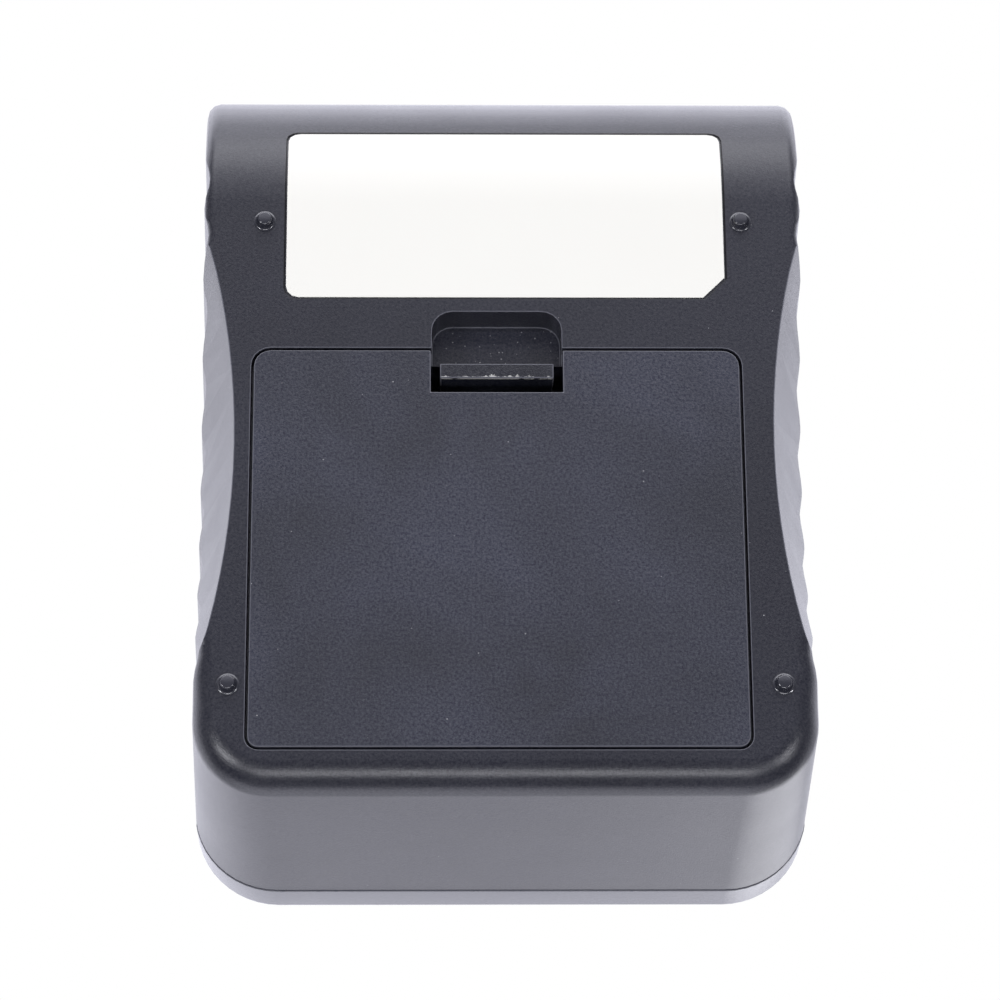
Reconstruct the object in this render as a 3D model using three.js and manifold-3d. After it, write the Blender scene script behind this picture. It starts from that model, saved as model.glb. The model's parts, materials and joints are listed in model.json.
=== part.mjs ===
// Portable thermal printer for 58 mm paper: case, battery, hinged paper lid and print mechanism.
// Millimetres, +Z up, front at -Y, rounded paper roll end at +Y, feet on Z = 0, left hand at -X.

import * as THREE from "three";
import { mergeVertices } from "three/addons/utils/BufferGeometryUtils.js";
import Module from "manifold-3d";

const wasm = await Module();
wasm.setup();

// Driving dimensions
const PAPER_WIDTH = 58;
const BATTERY = { run: 37, height: 14.6, corner: 2.5, bevel: 0.8, endSlack: 1.2, sideSlack: 1, sag: 0.1 };
const FOOT_HEIGHT = 1.1;
const WALL = 2;
const CORNER_RADIUS = 9.6;
const DRAFT = 0.0418;

// Clearances
const GAP = 0.3;
const FINE_GAP = 0.15;
const COVER_GAP = 0.35;
const SLACK = 1;
const OVERRUN = 5;
const WELD = 1e-4;

// Facet counts
const ARC_STEPS = 10;
const ROUND_STEPS = 26;
const PIN_SIDES = 16;
const FOOT_SIDES = 20;
const SCREW_SIDES = 12;
const BOSS_SIDES = 24;
const CAP_SIDES = 32;

// Battery compartment heights, from the underside up
const BASE = FOOT_HEIGHT;
const COVER = {
  thickness: 1.8,
  ledge: 1.5,
  frontRadius: 1.4,
  rearRadius: 2.2,
  offset: 0.92,
  sideMargin: 3.35,
};
const RECESS_DEPTH = COVER.thickness + GAP;
const FLOOR = BASE + RECESS_DEPTH + COVER.ledge;
const BAY = { wall: 1.5, headroom: 0.4, frontStrip: 7.525, rearStrip: 9.025, sideStrip: 2.8 };
BAY.ceiling = FLOOR + BATTERY.height + BAY.headroom;
const BAY_TOP = BAY.ceiling + BAY.wall;

// Print mechanism heights, stacked on the battery compartment
const BOARD = { lift: 2.3, thickness: 1.6, front: 15.55, behindMotor: 5.24, fromWall: 2.73, fromPlate: 0.65 };
BOARD.low = BAY_TOP + BOARD.lift;
const BOARD_TOP = BOARD.low + BOARD.thickness;
const MOTOR = { radius: 7.2, width: 13.8, gap: 0.35, shaft: 1, boss: 2.4, lift: 0.8 };
MOTOR.z = BOARD_TOP + MOTOR.lift + MOTOR.radius;
const IDLER = { rise: 2, pin: 1, head: 0.6 };
IDLER.z = MOTOR.z + IDLER.rise;
const PLATEN = { radius: 5, inset: 0.5, shaft: 2, rise: 5.5, cover: 8.5, behindBay: 4.5, shaftTail: 0.5 };
PLATEN.z = IDLER.z + PLATEN.rise;
const TOP = PLATEN.z + PLATEN.cover;
const HEIGHT = TOP - BASE;
const RIM = { height: 8, step: 0.1, edge: 1.4, steps: 4 };
const SEAM = TOP - RIM.height;
const SEAM_RISE = SEAM - BASE;
const ROUND_RADIUS = HEIGHT / 2;

// Stations from the front to the rear
const PANEL_MARGIN = 7.025;
const LATCH = {
  reach: 8.5,
  setBack: 5.575,
  corner: 2.7,
  depth: 5,
  wall: 1,
  notchReach: 8.65,
  notchDepth: 5.955,
  barReach: 7.45,
  slot: 2.08,
  bar: 2.05,
  barLift: 0.2,
  legThickness: 1.3,
  legTop: 9.4,
  tooth: 0.8,
  toothHeight: 1,
  lap: 0.45,
};
const LABEL = {
  margin: 0.25,
  setBack: 2.15,
  flat: 14,
  turn: 0.508,
  inset: 10.74,
  offset: -0.3,
  thickness: 0.15,
  depth: 0.3,
  sunk: 0.05,
  chamfer: 2.9,
  radius: 1.6,
  steps: 6,
};
const COVER_LENGTH = BAY.frontStrip + BATTERY.run + BATTERY.endSlack + BAY.rearStrip;
const LENGTH = PANEL_MARGIN + COVER_LENGTH + LATCH.setBack + LABEL.setBack + LABEL.flat + ROUND_RADIUS;
const FRONT = -LENGTH / 2;
const REAR = LENGTH / 2;
COVER.front = FRONT + PANEL_MARGIN;
COVER.rear = COVER.front + COVER_LENGTH;
BAY.front = COVER.front + BAY.frontStrip;
BAY.rear = COVER.rear - BAY.rearStrip;
LATCH.rear = COVER.rear + LATCH.setBack;
LATCH.notchFront = COVER.rear - LATCH.notchDepth;
LATCH.barFront = LATCH.notchFront + LATCH.slot;
LATCH.barRear = LATCH.barFront + LATCH.bar;
LATCH.floorEdge = LATCH.barRear + LATCH.lap;
LABEL.front = LATCH.rear + LABEL.setBack;
const ROUND = { y: REAR - ROUND_RADIUS, z: BASE + ROUND_RADIUS };
PLATEN.y = BAY.rear + PLATEN.behindBay;
const PANEL = { beforePlaten: 6.9, lip: 1.3, lipHeight: 5, tab: 0.4 };
const PANEL_REAR = PLATEN.y - PANEL.beforePlaten;

// Widths from the paper outwards
PLATEN.reach = PAPER_WIDTH / 2 - PLATEN.inset;
const LUG = { gap: 0.4, thickness: 1.4, radius: 4.4 };
LUG.x = [PLATEN.reach + LUG.gap, PLATEN.reach + LUG.gap + LUG.thickness];
const PLATE = { gap: 0.35, thickness: 1.45 };
PLATE.x = [LUG.x[1] + PLATE.gap, LUG.x[1] + PLATE.gap + PLATE.thickness];
const GEAR = { module: 0.6, gap: 0.6, width: 2.7, backlash: 0.3, platen: 18, idler: 30, pinion: 10 };
GEAR.x = [PLATE.x[1] + GEAR.gap, PLATE.x[1] + GEAR.gap + GEAR.width];
const BUSH = { radius: 3.1, inner: 0.15, outer: 0.2 };
BUSH.x = [LUG.x[0] - BUSH.inner, PLATE.x[1] + BUSH.outer];
MOTOR.x = [PLATE.x[0] - MOTOR.gap - MOTOR.width, PLATE.x[0] - MOTOR.gap];
const LID = { beyondGear: 0.6, sideGap: 0.4, beforePlaten: 4.2, frontEdge: 0.8 };
LID.reach = GEAR.x[1] + LID.beyondGear;
LID.front = PLATEN.y - LID.beforePlaten;
const LID_OPENING = LID.reach + LID.sideGap;
const ARM_WIDTH = 5;
const SEAM_HALF = LID_OPENING + ARM_WIDTH;
const BASE_HALF = SEAM_HALF - SEAM_RISE * DRAFT;
const RIM_HALF = SEAM_HALF + RIM.step;
const BASE_FRONT = FRONT + RIM.step + SEAM_RISE * DRAFT;
const halfWidthAt = (z) => BASE_HALF + (z - BASE) * DRAFT;

// Finger ribs and hand scoops down the sides, and the rounding of the lower edge
const RIBS = { pitch: 8.3, margin: 16.75, depth: 0.62, samples: 6 };
RIBS.first = FRONT + RIBS.margin;
RIBS.count = Math.round((REAR - RIBS.margin - RIBS.first) / RIBS.pitch) + 1;
const EDGE = { front: 3.7, side: 1.2, start: 13.75, end: 25.75, steps: 5 };
EDGE.from = FRONT + EDGE.start;
EDGE.to = FRONT + EDGE.end;
const SIDE_EDGE = 1.8;
const SCOOP = {
  depth: 4.578,
  bend: 112,
  y: -5.45,
  tilt: 0.262,
  trims: [
    { tilt: 0.6, setIn: 0.1 },
    { tilt: 1.1, setIn: 0.45 },
  ],
  sides: 200,
};
SCOOP.waist = BASE_HALF - SCOOP.depth;
COVER.reach = SCOOP.waist - COVER.sideMargin;
BAY.reach = COVER.reach - BAY.sideStrip;
BATTERY.reach = BAY.reach - BATTERY.sideSlack;

// Print head, its pivot and springs, and the frame that carries them
const HEAD = {
  inset: 2,
  thickness: 0.8,
  sink: 2.2,
  rise: 1.6,
  height: 10,
  lineWidth: 1.2,
  proud: 0.1,
  pivotLift: 8,
};
HEAD.reach = PAPER_WIDTH / 2 - HEAD.inset;
HEAD.face = PLATEN.y - PLATEN.radius - GAP;
HEAD.top = PLATEN.z + HEAD.rise;
HEAD.back = HEAD.face - HEAD.thickness - GAP - HEAD.sink;
const PIVOT = { pin: 1, lug: 2.4, setBack: 0.3, heel: 1.5, z: BAY_TOP + HEAD.pivotLift };
PIVOT.y = HEAD.back - PIVOT.setBack;
const SPRING = { radius: 1.9, wire: 0.25, turns: 5, steps: 8, sides: 5, inset: 12, drop: 7.5, room: 8.3 };
const CHASSIS = { base: 1.6, wall: 1.5, tail: 1.4, drop: 5.6, notchLip: 3 };
CHASSIS.low = BAY_TOP + GAP;
CHASSIS.front = HEAD.back - SPRING.room;
CHASSIS.top = TOP - CHASSIS.drop;
const pitchRadius = (teeth) => (GEAR.module * teeth) / 2;
const across = (radius, rise) => Math.sqrt(radius ** 2 - rise ** 2);
IDLER.y = PLATEN.y - across(pitchRadius(GEAR.platen + GEAR.idler), PLATEN.rise);
MOTOR.y = IDLER.y - across(pitchRadius(GEAR.idler + GEAR.pinion), IDLER.rise);
const AXES = {
  platen: [PLATEN.y, PLATEN.z],
  idler: [IDLER.y, IDLER.z],
  motor: [MOTOR.y, MOTOR.z],
  pivot: [PIVOT.y, PIVOT.z],
};

// Fasteners
const CASE_SCREW = { boss: 3.1, hole: 1.6, head: 2.5, headHeight: 1.6, shank: 1.3, grip: 12, slot: 0.5 };
CASE_SCREW.sunk = 0.4;
CASE_SCREW.x = COVER.reach - COVER.sideMargin - BAY.sideStrip + CASE_SCREW.sunk;
CASE_SCREW.y = COVER.front + BAY.frontStrip / 2;
const HEAD_SEAT = FLOOR + CASE_SCREW.sunk;
const MECH_SCREW = { x: CASE_SCREW.x, behindBay: 5.4, grip: 4 };
MECH_SCREW.y = BAY.rear + MECH_SCREW.behindBay;
CHASSIS.rear = MECH_SCREW.y + CHASSIS.tail;
const BOARD_SCREW = { fromEdge: 15, beforeMotor: 4.5, fromRear: 4.1, boss: 2.6, hole: 1.2, head: 1.9 };
BOARD_SCREW.headHeight = 1.2;
BOARD_SCREW.shank = 0.95;
BOARD_SCREW.bite = 1.6;

// Main board, socket and keypad board
BOARD.x = [BOARD.fromWall - BASE_HALF, PLATE.x[0] - BOARD.fromPlate];
BOARD.y = [FRONT + BOARD.front, MOTOR.y + BOARD.behindMotor];
BOARD_SCREW.x = [BOARD.x[0] + BOARD_SCREW.fromEdge, MOTOR.x[0] - BOARD_SCREW.beforeMotor];
BOARD_SCREW.y = BOARD.y[1] - BOARD_SCREW.fromRear;
const CHIP_HEIGHT = { processor: 1, radio: 1.4, strip: 3.4, coil: 4 };
const CHIP_SHARES = {
  processor: [0.373, 0.193, 0.149, 0.459],
  radio: [0.612, 0.147, 0.09, 0.275],
  strip: [0.731, 0.028, 0.179, 0.211],
  coil: [0.194, 0.037, 0.119, 0.156],
};
const USB = { station: 8.2, lift: 1.6, wide: 7.8, high: 2.7, wall: 0.4, tongue: 0.55, sunk: 1.1, deep: 5.5, back: 0.7 };
const PORT = { y: BOARD.y[0] + USB.station, z: BOARD_TOP + USB.lift, wide: 9.4, high: 4.6 };
const KEYPAD = { inset: 8.5, start: 14.35, beforeMotor: 4.96, drop: 9, thickness: 1.2, lamp: 0.8 };
KEYPAD.x = LID.reach - KEYPAD.inset;
KEYPAD.y = [FRONT + KEYPAD.start, MOTOR.y - KEYPAD.beforeMotor];
KEYPAD.z = TOP - KEYPAD.drop;
const KEYPAD_TOP = KEYPAD.z + KEYPAD.thickness;
const POST = { inset: 3, station: 4.4, radius: 2.4, bite: 4 };
POST.x = KEYPAD.x - POST.inset;
POST.y = KEYPAD.y[0] + POST.station;
const SWITCH = { reach: 3, height: 2, plunger: 1.7, plungerHeight: 0.5 };
const SWITCH_TOP = KEYPAD_TOP + GAP + SWITCH.height + SWITCH.plungerHeight;
const BUTTON = {
  x: 15.5,
  y: (KEYPAD.y[0] + KEYPAD.y[1]) / 2,
  radius: 5,
  gap: 0.25,
  flange: 5.7,
  flangeHeight: 0.9,
  proud: 0.4,
  crown: 0.25,
  travel: 0.6,
  dish: 0.5,
  dishRadius: 7.2,
  stem: 1.6,
};
BUTTON.flangeLow = TOP - WALL - BUTTON.flangeHeight - FINE_GAP;
BUTTON.stemEnd = SWITCH_TOP + BUTTON.travel + FINE_GAP;
const LIGHT = { radius: 1.1, flange: 1.7, flangeHeight: 0.8, proud: 0.05, crown: 0.1, lift: 1.2, pitch: 4.5 };
LIGHT.stations = [-LIGHT.pitch, 0, LIGHT.pitch];

const HINGE = { barrel: 2.6, pin: 1, rise: 2.9, boss: 3.2, knuckle: 4.3, setIn: 0.3, bite: 3.1, sweep: 0.4 };
HINGE.z = ROUND.z + HINGE.rise;
HINGE.y = ROUND.y + across(ROUND_RADIUS - HINGE.barrel, HINGE.rise);
HINGE.x = [LID.reach - HINGE.setIn - HINGE.knuckle, LID.reach - HINGE.setIn];
HINGE.pinEnd = LID_OPENING + HINGE.bite;

const FOOT = { tip: 0.95, edge: 0.22, waist: 1.12, fillet: 0.36, seat: 0.05, peg: 0.8, pegLength: 1 };
const FOOT_PLACE = { front: 15.35, frontInset: 4.43, rear: 3, rearInset: 8.13 };
FOOT_PLACE.frontX = BASE_HALF - FOOT_PLACE.frontInset;
FOOT_PLACE.rearX = BASE_HALF - FOOT_PLACE.rearInset;
const FEET = {
  foot_front_left: [-FOOT_PLACE.frontX, FRONT + FOOT_PLACE.front],
  foot_front_right: [FOOT_PLACE.frontX, FRONT + FOOT_PLACE.front],
  foot_rear_left: [-FOOT_PLACE.rearX, ROUND.y - FOOT_PLACE.rear],
  foot_rear_right: [FOOT_PLACE.rearX, ROUND.y - FOOT_PLACE.rear],
};

const PLASTIC = { dark: 0x303238, cover: 0x33353c, grey: 0x55575c, inner: 0x26272b, white: 0xe9e9e6 };
const BOARD_GREEN = 0x1f5a3a;
const STEEL = 0xb4b6ba;
const ACETAL = 0xd8d5cc;

// Solids from three.js geometry

function solidFrom(geometry) {
  const plain = geometry.clone();
  for (const name of Object.keys(plain.attributes)) if (name !== "position") plain.deleteAttribute(name);
  const merged = mergeVertices(plain, WELD);
  return new wasm.Manifold(
    new wasm.Mesh({
      numProp: 3,
      vertProperties: new Float32Array(merged.attributes.position.array),
      triVerts: new Uint32Array(merged.index.array),
    }),
  );
}

function geometryFrom(solid) {
  const mesh = solid.getMesh();
  const geometry = new THREE.BufferGeometry();
  geometry.setAttribute("position", new THREE.BufferAttribute(mesh.vertProperties.slice(), 3));
  geometry.setIndex(new THREE.BufferAttribute(mesh.triVerts.slice(), 1));
  geometry.computeVertexNormals();
  return geometry;
}

const joined = (...solids) => solids.reduce((a, b) => a.add(b));
const without = (solid, ...cuts) => cuts.reduce((a, b) => a.subtract(b), solid);

// A box between two corners, each range given as [low, high].
function block(x, y, z) {
  const geometry = new THREE.BoxGeometry(x[1] - x[0], y[1] - y[0], z[1] - z[0]);
  geometry.translate((x[0] + x[1]) / 2, (y[0] + y[1]) / 2, (z[0] + z[1]) / 2);
  return solidFrom(geometry);
}

// A straight prism: points (a, b) lie in the plane square to the axis.
const BASES = {
  x: [new THREE.Vector3(0, 1, 0), new THREE.Vector3(0, 0, 1), new THREE.Vector3(1, 0, 0)],
  y: [new THREE.Vector3(0, 0, 1), new THREE.Vector3(1, 0, 0), new THREE.Vector3(0, 1, 0)],
  z: [new THREE.Vector3(1, 0, 0), new THREE.Vector3(0, 1, 0), new THREE.Vector3(0, 0, 1)],
};

function prismGeometry(axis, outline, range, options = {}) {
  const shape = new THREE.Shape(outline.map(([a, b]) => new THREE.Vector2(a, b)));
  for (const hole of options.holes ?? [])
    shape.holes.push(new THREE.Path(hole.map(([a, b]) => new THREE.Vector2(a, b))));
  const bevel = options.bevel ?? 0;
  const geometry = new THREE.ExtrudeGeometry(shape, {
    depth: range[1] - range[0] - 2 * bevel,
    steps: options.steps ?? 1,
    bevelEnabled: bevel > 0,
    bevelThickness: bevel,
    bevelSize: bevel,
    bevelOffset: -bevel,
    bevelSegments: options.bevelSteps ?? 3,
  });
  geometry.translate(0, 0, range[0] + bevel);
  geometry.applyMatrix4(new THREE.Matrix4().makeBasis(...BASES[axis]));
  return geometry;
}

const prism = (axis, outline, range, options) => solidFrom(prismGeometry(axis, outline, range, options));

// A round bar along an axis, with its centre given in the plane square to it.
function bar(axis, radius, centre, range, sides = PIN_SIDES, endRadius = radius) {
  const geometry = new THREE.CylinderGeometry(endRadius, radius, range[1] - range[0], sides);
  geometry.rotateX(Math.PI / 2);
  geometry.translate(centre[0], centre[1], (range[0] + range[1]) / 2);
  geometry.applyMatrix4(new THREE.Matrix4().makeBasis(...BASES[axis]));
  return solidFrom(geometry);
}

// A turned piece about an upright axis, from (radius, height) points listed upwards.
function turned(profile, centre, sides = PIN_SIDES) {
  const geometry = new THREE.LatheGeometry(profile.map(([r, z]) => new THREE.Vector2(r, z)), sides);
  geometry.rotateX(Math.PI / 2);
  geometry.translate(centre[0], centre[1], 0);
  return solidFrom(geometry);
}

// Points on a circle from one angle to another, in radians.
function arc(centre, radius, from, to, steps = ARC_STEPS) {
  return Array.from({ length: steps + 1 }, (_, i) => {
    const angle = from + ((to - from) * i) / steps;
    return [centre[0] + radius * Math.cos(angle), centre[1] + radius * Math.sin(angle)];
  });
}

// A rectangle with its own radius at each corner, listed from the low corner round.
function roundedRectangle(a, b, radii, steps = 5) {
  const [r0, r1, r2, r3] = radii;
  return [
    ...arc([a[0] + r0, b[0] + r0], r0, Math.PI, 1.5 * Math.PI, steps),
    ...arc([a[1] - r1, b[0] + r1], r1, 1.5 * Math.PI, 2 * Math.PI, steps),
    ...arc([a[1] - r2, b[1] - r2], r2, 0, 0.5 * Math.PI, steps),
    ...arc([a[0] + r3, b[1] - r3], r3, 0.5 * Math.PI, Math.PI, steps),
  ];
}

// A closed loft through rings of equal point count, each ring a list of [x, y, z], upwards.
function loft(rings) {
  const count = rings[0].length;
  const flat = rings[0].map(([x, y]) => new THREE.Vector2(x, y));
  const caps = THREE.ShapeUtils.triangulateShape(flat, []);
  const index = [];
  const last = (rings.length - 1) * count;
  for (const [a, b, c] of caps) {
    index.push(a, c, b);
    index.push(last + a, last + b, last + c);
  }
  for (let k = 0; k + 1 < rings.length; k++)
    for (let i = 0; i < count; i++) {
      const j = (i + 1) % count;
      const low = k * count;
      const high = low + count;
      index.push(low + i, low + j, high + j);
      index.push(low + i, high + j, high + i);
    }
  const geometry = new THREE.BufferGeometry();
  geometry.setAttribute("position", new THREE.Float32BufferAttribute(rings.flat(2), 3));
  geometry.setIndex(index);
  return solidFrom(geometry);
}

// The same range of x on the left or the right hand
const sided = (side, [a, b]) => (side < 0 ? [-b, -a] : [a, b]);
const around = (centre, reach) => [centre - reach, centre + reach];

// Case outline

// How far the side wall dips between the finger ribs at a station y
function ribDip(y) {
  const turns = (y - RIBS.first) / RIBS.pitch;
  if (turns < 0 || turns > RIBS.count - 1) return 0;
  return (RIBS.depth * (1 - Math.cos(2 * Math.PI * turns))) / 2;
}

function edgeRadius(y) {
  const share = THREE.MathUtils.clamp((y - EDGE.from) / (EDGE.to - EDGE.from), 0, 1);
  return THREE.MathUtils.lerp(EDGE.front, EDGE.side, share);
}

// Plan of the case at the underside: points with their outward direction, round the front and up each side
function casePlan(ribbed) {
  const right = [];
  const centre = [BASE_HALF - CORNER_RADIUS, BASE_FRONT + CORNER_RADIUS];
  for (const [x, y] of arc(centre, CORNER_RADIUS, -Math.PI / 2, 0, ARC_STEPS + 2)) {
    const out = [(x - centre[0]) / CORNER_RADIUS, (y - centre[1]) / CORNER_RADIUS];
    right.push({ x, y, out, edge: EDGE.front });
  }
  const ribEnd = RIBS.first + (RIBS.count - 1) * RIBS.pitch;
  const stations = [EDGE.from];
  const ribSamples = (RIBS.count - 1) * RIBS.samples;
  for (let i = 0; ribbed && i <= ribSamples; i++) stations.push(RIBS.first + (i * RIBS.pitch) / RIBS.samples);
  stations.push(ribbed ? (ribEnd + REAR) / 2 : EDGE.to, REAR + OVERRUN);
  for (const y of stations)
    right.push({ x: BASE_HALF - (ribbed ? ribDip(y) : 0), y, out: [1, 0], edge: edgeRadius(y) });
  const left = right.map((p) => ({ ...p, x: -p.x, out: [-p.out[0], p.out[1]] })).reverse();
  return [...right, ...left];
}

const planRing = (plan, outset, z) => plan.map((p) => [p.x + p.out[0] * outset, p.y + p.out[1] * outset, z]);

// The drafted body below the seam with its rounded lower edge, still straight at the rear
function lowerEnvelope() {
  const plan = casePlan(true);
  const rings = [];
  for (let k = 0; k <= EDGE.steps; k++) {
    const turn = (k / EDGE.steps) * (Math.PI / 2);
    rings.push(
      plan.map((p) => {
        const rise = p.edge * (1 - Math.cos(turn));
        const outset = rise * DRAFT - p.edge * (1 - Math.sin(turn));
        return [p.x + p.out[0] * outset, p.y + p.out[1] * outset, BASE + rise];
      }),
    );
  }
  rings.push(planRing(plan, SEAM_RISE * DRAFT, SEAM));
  return loft(rings);
}

// The upright band and flat top above the seam
function upperEnvelope(low) {
  const plan = casePlan(false);
  const side = SEAM_RISE * DRAFT + RIM.step;
  const rings = [planRing(plan, side, low)];
  for (let k = 0; k <= RIM.steps; k++) {
    const turn = (k / RIM.steps) * (Math.PI / 2);
    rings.push(planRing(plan, side - RIM.edge * (1 - Math.cos(turn)), TOP - RIM.edge * (1 - Math.sin(turn))));
  }
  return loft(rings);
}

// Side view of the case set in by an offset: flat bottom and top, half-round rear
function sideProfile(offset) {
  return [
    [FRONT - OVERRUN, BASE + offset],
    ...arc([ROUND.y, ROUND.z], ROUND_RADIUS - offset, -Math.PI / 2, Math.PI / 2, ROUND_STEPS),
    [FRONT - OVERRUN, TOP - offset],
  ];
}

// The half-round end carried across the case, its edges rounded and its ends following the draft
function roundEnvelope() {
  const geometry = prismGeometry("x", sideProfile(0), [-RIM_HALF, RIM_HALF], { bevel: SIDE_EDGE });
  const place = geometry.attributes.position;
  for (let i = 0; i < place.count; i++)
    place.setX(i, (place.getX(i) * Math.min(halfWidthAt(place.getZ(i)), RIM_HALF)) / RIM_HALF);
  return solidFrom(geometry);
}

// Hand scoop: a large tilted cylinder that draws the waist and an arch up the side wall
function scoopCut(side, tilt, setIn) {
  const radius = (SCOOP.bend + setIn) / Math.cos(tilt);
  const geometry = new THREE.CylinderGeometry(radius, radius, LENGTH + HEIGHT, SCOOP.sides);
  geometry.rotateX(Math.PI / 2);
  geometry.rotateY(side * tilt);
  geometry.translate(side * (SCOOP.waist - setIn + radius / Math.cos(tilt)), SCOOP.y, BASE);
  return solidFrom(geometry);
}

const offsetX = (reach) => around(COVER.offset, reach);

function coverOutline(grow) {
  const front = COVER.frontRadius + grow;
  const rear = COVER.rearRadius + grow;
  const run = [COVER.front - grow, COVER.rear + grow];
  return roundedRectangle(offsetX(COVER.reach + grow), run, [front, front, rear, rear]);
}

// Rating label

// The sheet's outline unrolled flat: x across, s from its front edge towards the rear
function labelOutline(grow) {
  const reach = BASE_HALF - LABEL.inset + grow;
  const [left, right] = around(LABEL.offset, reach);
  const far = LABEL.flat + ROUND_RADIUS * LABEL.turn + grow;
  const r = LABEL.radius;
  return [
    [left + LABEL.chamfer, -grow],
    ...arc([right - r, r - grow], r, -Math.PI / 2, 0, 3),
    ...arc([right - r, far - r], r, 0, Math.PI / 2, 3),
    ...arc([left + r, far - r], r, Math.PI / 2, Math.PI, 3),
    [left, LABEL.chamfer - grow],
  ];
}

// A sheet on the underside that turns up round the end, between two distances outside the surface
function wrappedSheet(grow, low, high) {
  const outline = labelOutline(grow).map(([x, s]) => [x, s + LABEL.front]);
  const flat = prism("z", outline, [-high, -low]);
  const cuts = [FRONT];
  for (let k = 0; k <= LABEL.steps; k++) cuts.push(ROUND.y + (ROUND_RADIUS * LABEL.turn * k) / LABEL.steps);
  cuts.push(REAR + LENGTH);
  let bent = null;
  for (let k = 0; k + 1 < cuts.length; k++) {
    const strip = flat.intersect(block(around(0, SEAM_HALF), [cuts[k], cuts[k + 1]], around(0, OVERRUN)));
    if (strip.isEmpty()) continue;
    const geometry = geometryFrom(strip);
    const place = geometry.attributes.position;
    for (let i = 0; i < place.count; i++) {
      const out = -place.getZ(i);
      const turn = Math.max(place.getY(i) - ROUND.y, 0) / ROUND_RADIUS;
      if (turn > 0) place.setY(i, ROUND.y + (ROUND_RADIUS + out) * Math.sin(turn));
      place.setZ(i, ROUND.z - (ROUND_RADIUS + out) * Math.cos(turn));
    }
    const solid = solidFrom(geometry);
    bent = bent ? bent.add(solid) : solid;
  }
  return bent;
}

function ratingLabel() {
  const low = LABEL.sunk - LABEL.depth;
  return wrappedSheet(0, low, low + LABEL.thickness);
}

// Battery cover: plate, two front tabs and the folded spring catch with its finger bar

const TAB = { reach: 3, hook: 1.9, root: 2, thickness: 1.1, station: 14, lift: 0.1, swing: 1.2, foot: 0.2 };
const TAB_LOW = BASE + RECESS_DEPTH + TAB.lift;
const LATCH_FLOOR = BASE + LATCH.depth;

function batteryCover() {
  const high = BASE + COVER.thickness;
  const plate = without(
    prism("z", coverOutline(0), [BASE, high]),
    block(offsetX(LATCH.notchReach), [LATCH.notchFront, COVER.rear + OVERRUN], [BASE - OVERRUN, high + OVERRUN]),
  );
  const legBack = LATCH.notchFront - LATCH.legThickness;
  const bend = (LATCH.barRear - legBack) / 2;
  const centre = [legBack + bend, BASE + LATCH.legTop - bend];
  const slim = LATCH.barRear - LATCH.legThickness;
  const toothLow = LATCH_FLOOR + LATCH.wall + GAP;
  const tongue = prism(
    "x",
    [
      [legBack, BASE + GAP],
      [LATCH.notchFront, BASE + GAP],
      ...arc(centre, bend - LATCH.legThickness, Math.PI, 0, 8),
      [slim, LATCH_FLOOR - LATCH.wall],
      [LATCH.barFront, LATCH_FLOOR - 2 * LATCH.wall],
      [LATCH.barFront, BASE + LATCH.barLift],
      [LATCH.barRear, BASE + LATCH.barLift],
      [LATCH.barRear, toothLow],
      [LATCH.barRear + LATCH.tooth, toothLow],
      [LATCH.barRear, toothLow + LATCH.toothHeight],
      ...arc(centre, bend, 0, Math.PI, 8),
    ],
    offsetX(LATCH.barReach),
  );
  const tabs = [];
  for (const side of [-1, 1]) {
    const x = around(COVER.offset + side * TAB.station, TAB.reach);
    const rear = COVER.front + TAB.root;
    tabs.push(block(x, [COVER.front - TAB.hook, rear], [TAB_LOW, TAB_LOW + TAB.thickness]));
    tabs.push(block(x, [COVER.front + TAB.foot, rear], [high - GAP, TAB_LOW + TAB.thickness]));
  }
  return joined(plate, tongue, ...tabs);
}

// Lower case: the tub with battery compartment, catch recess, screw bosses and hinge bosses

function lowerShell() {
  const scoops = [];
  const insets = [];
  for (const side of [-1, 1]) {
    scoops.push(scoopCut(side, SCOOP.tilt, 0));
    for (const { tilt, setIn } of SCOOP.trims) scoops.push(scoopCut(side, tilt, setIn));
    insets.push(scoopCut(side, SCOOP.tilt, WALL));
  }
  const envelope = without(lowerEnvelope().intersect(roundEnvelope()), ...scoops);
  const plain = casePlan(false);
  const inset = -WALL - RIBS.depth / 2;
  const hollow = without(
    loft([planRing(plain, inset, BASE + WALL), planRing(plain, inset + SEAM_RISE * DRAFT, SEAM + OVERRUN)]),
    ...insets,
  ).intersect(prism("x", sideProfile(WALL), around(0, SEAM_HALF)));
  return { envelope, shell: envelope.subtract(hollow) };
}

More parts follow.
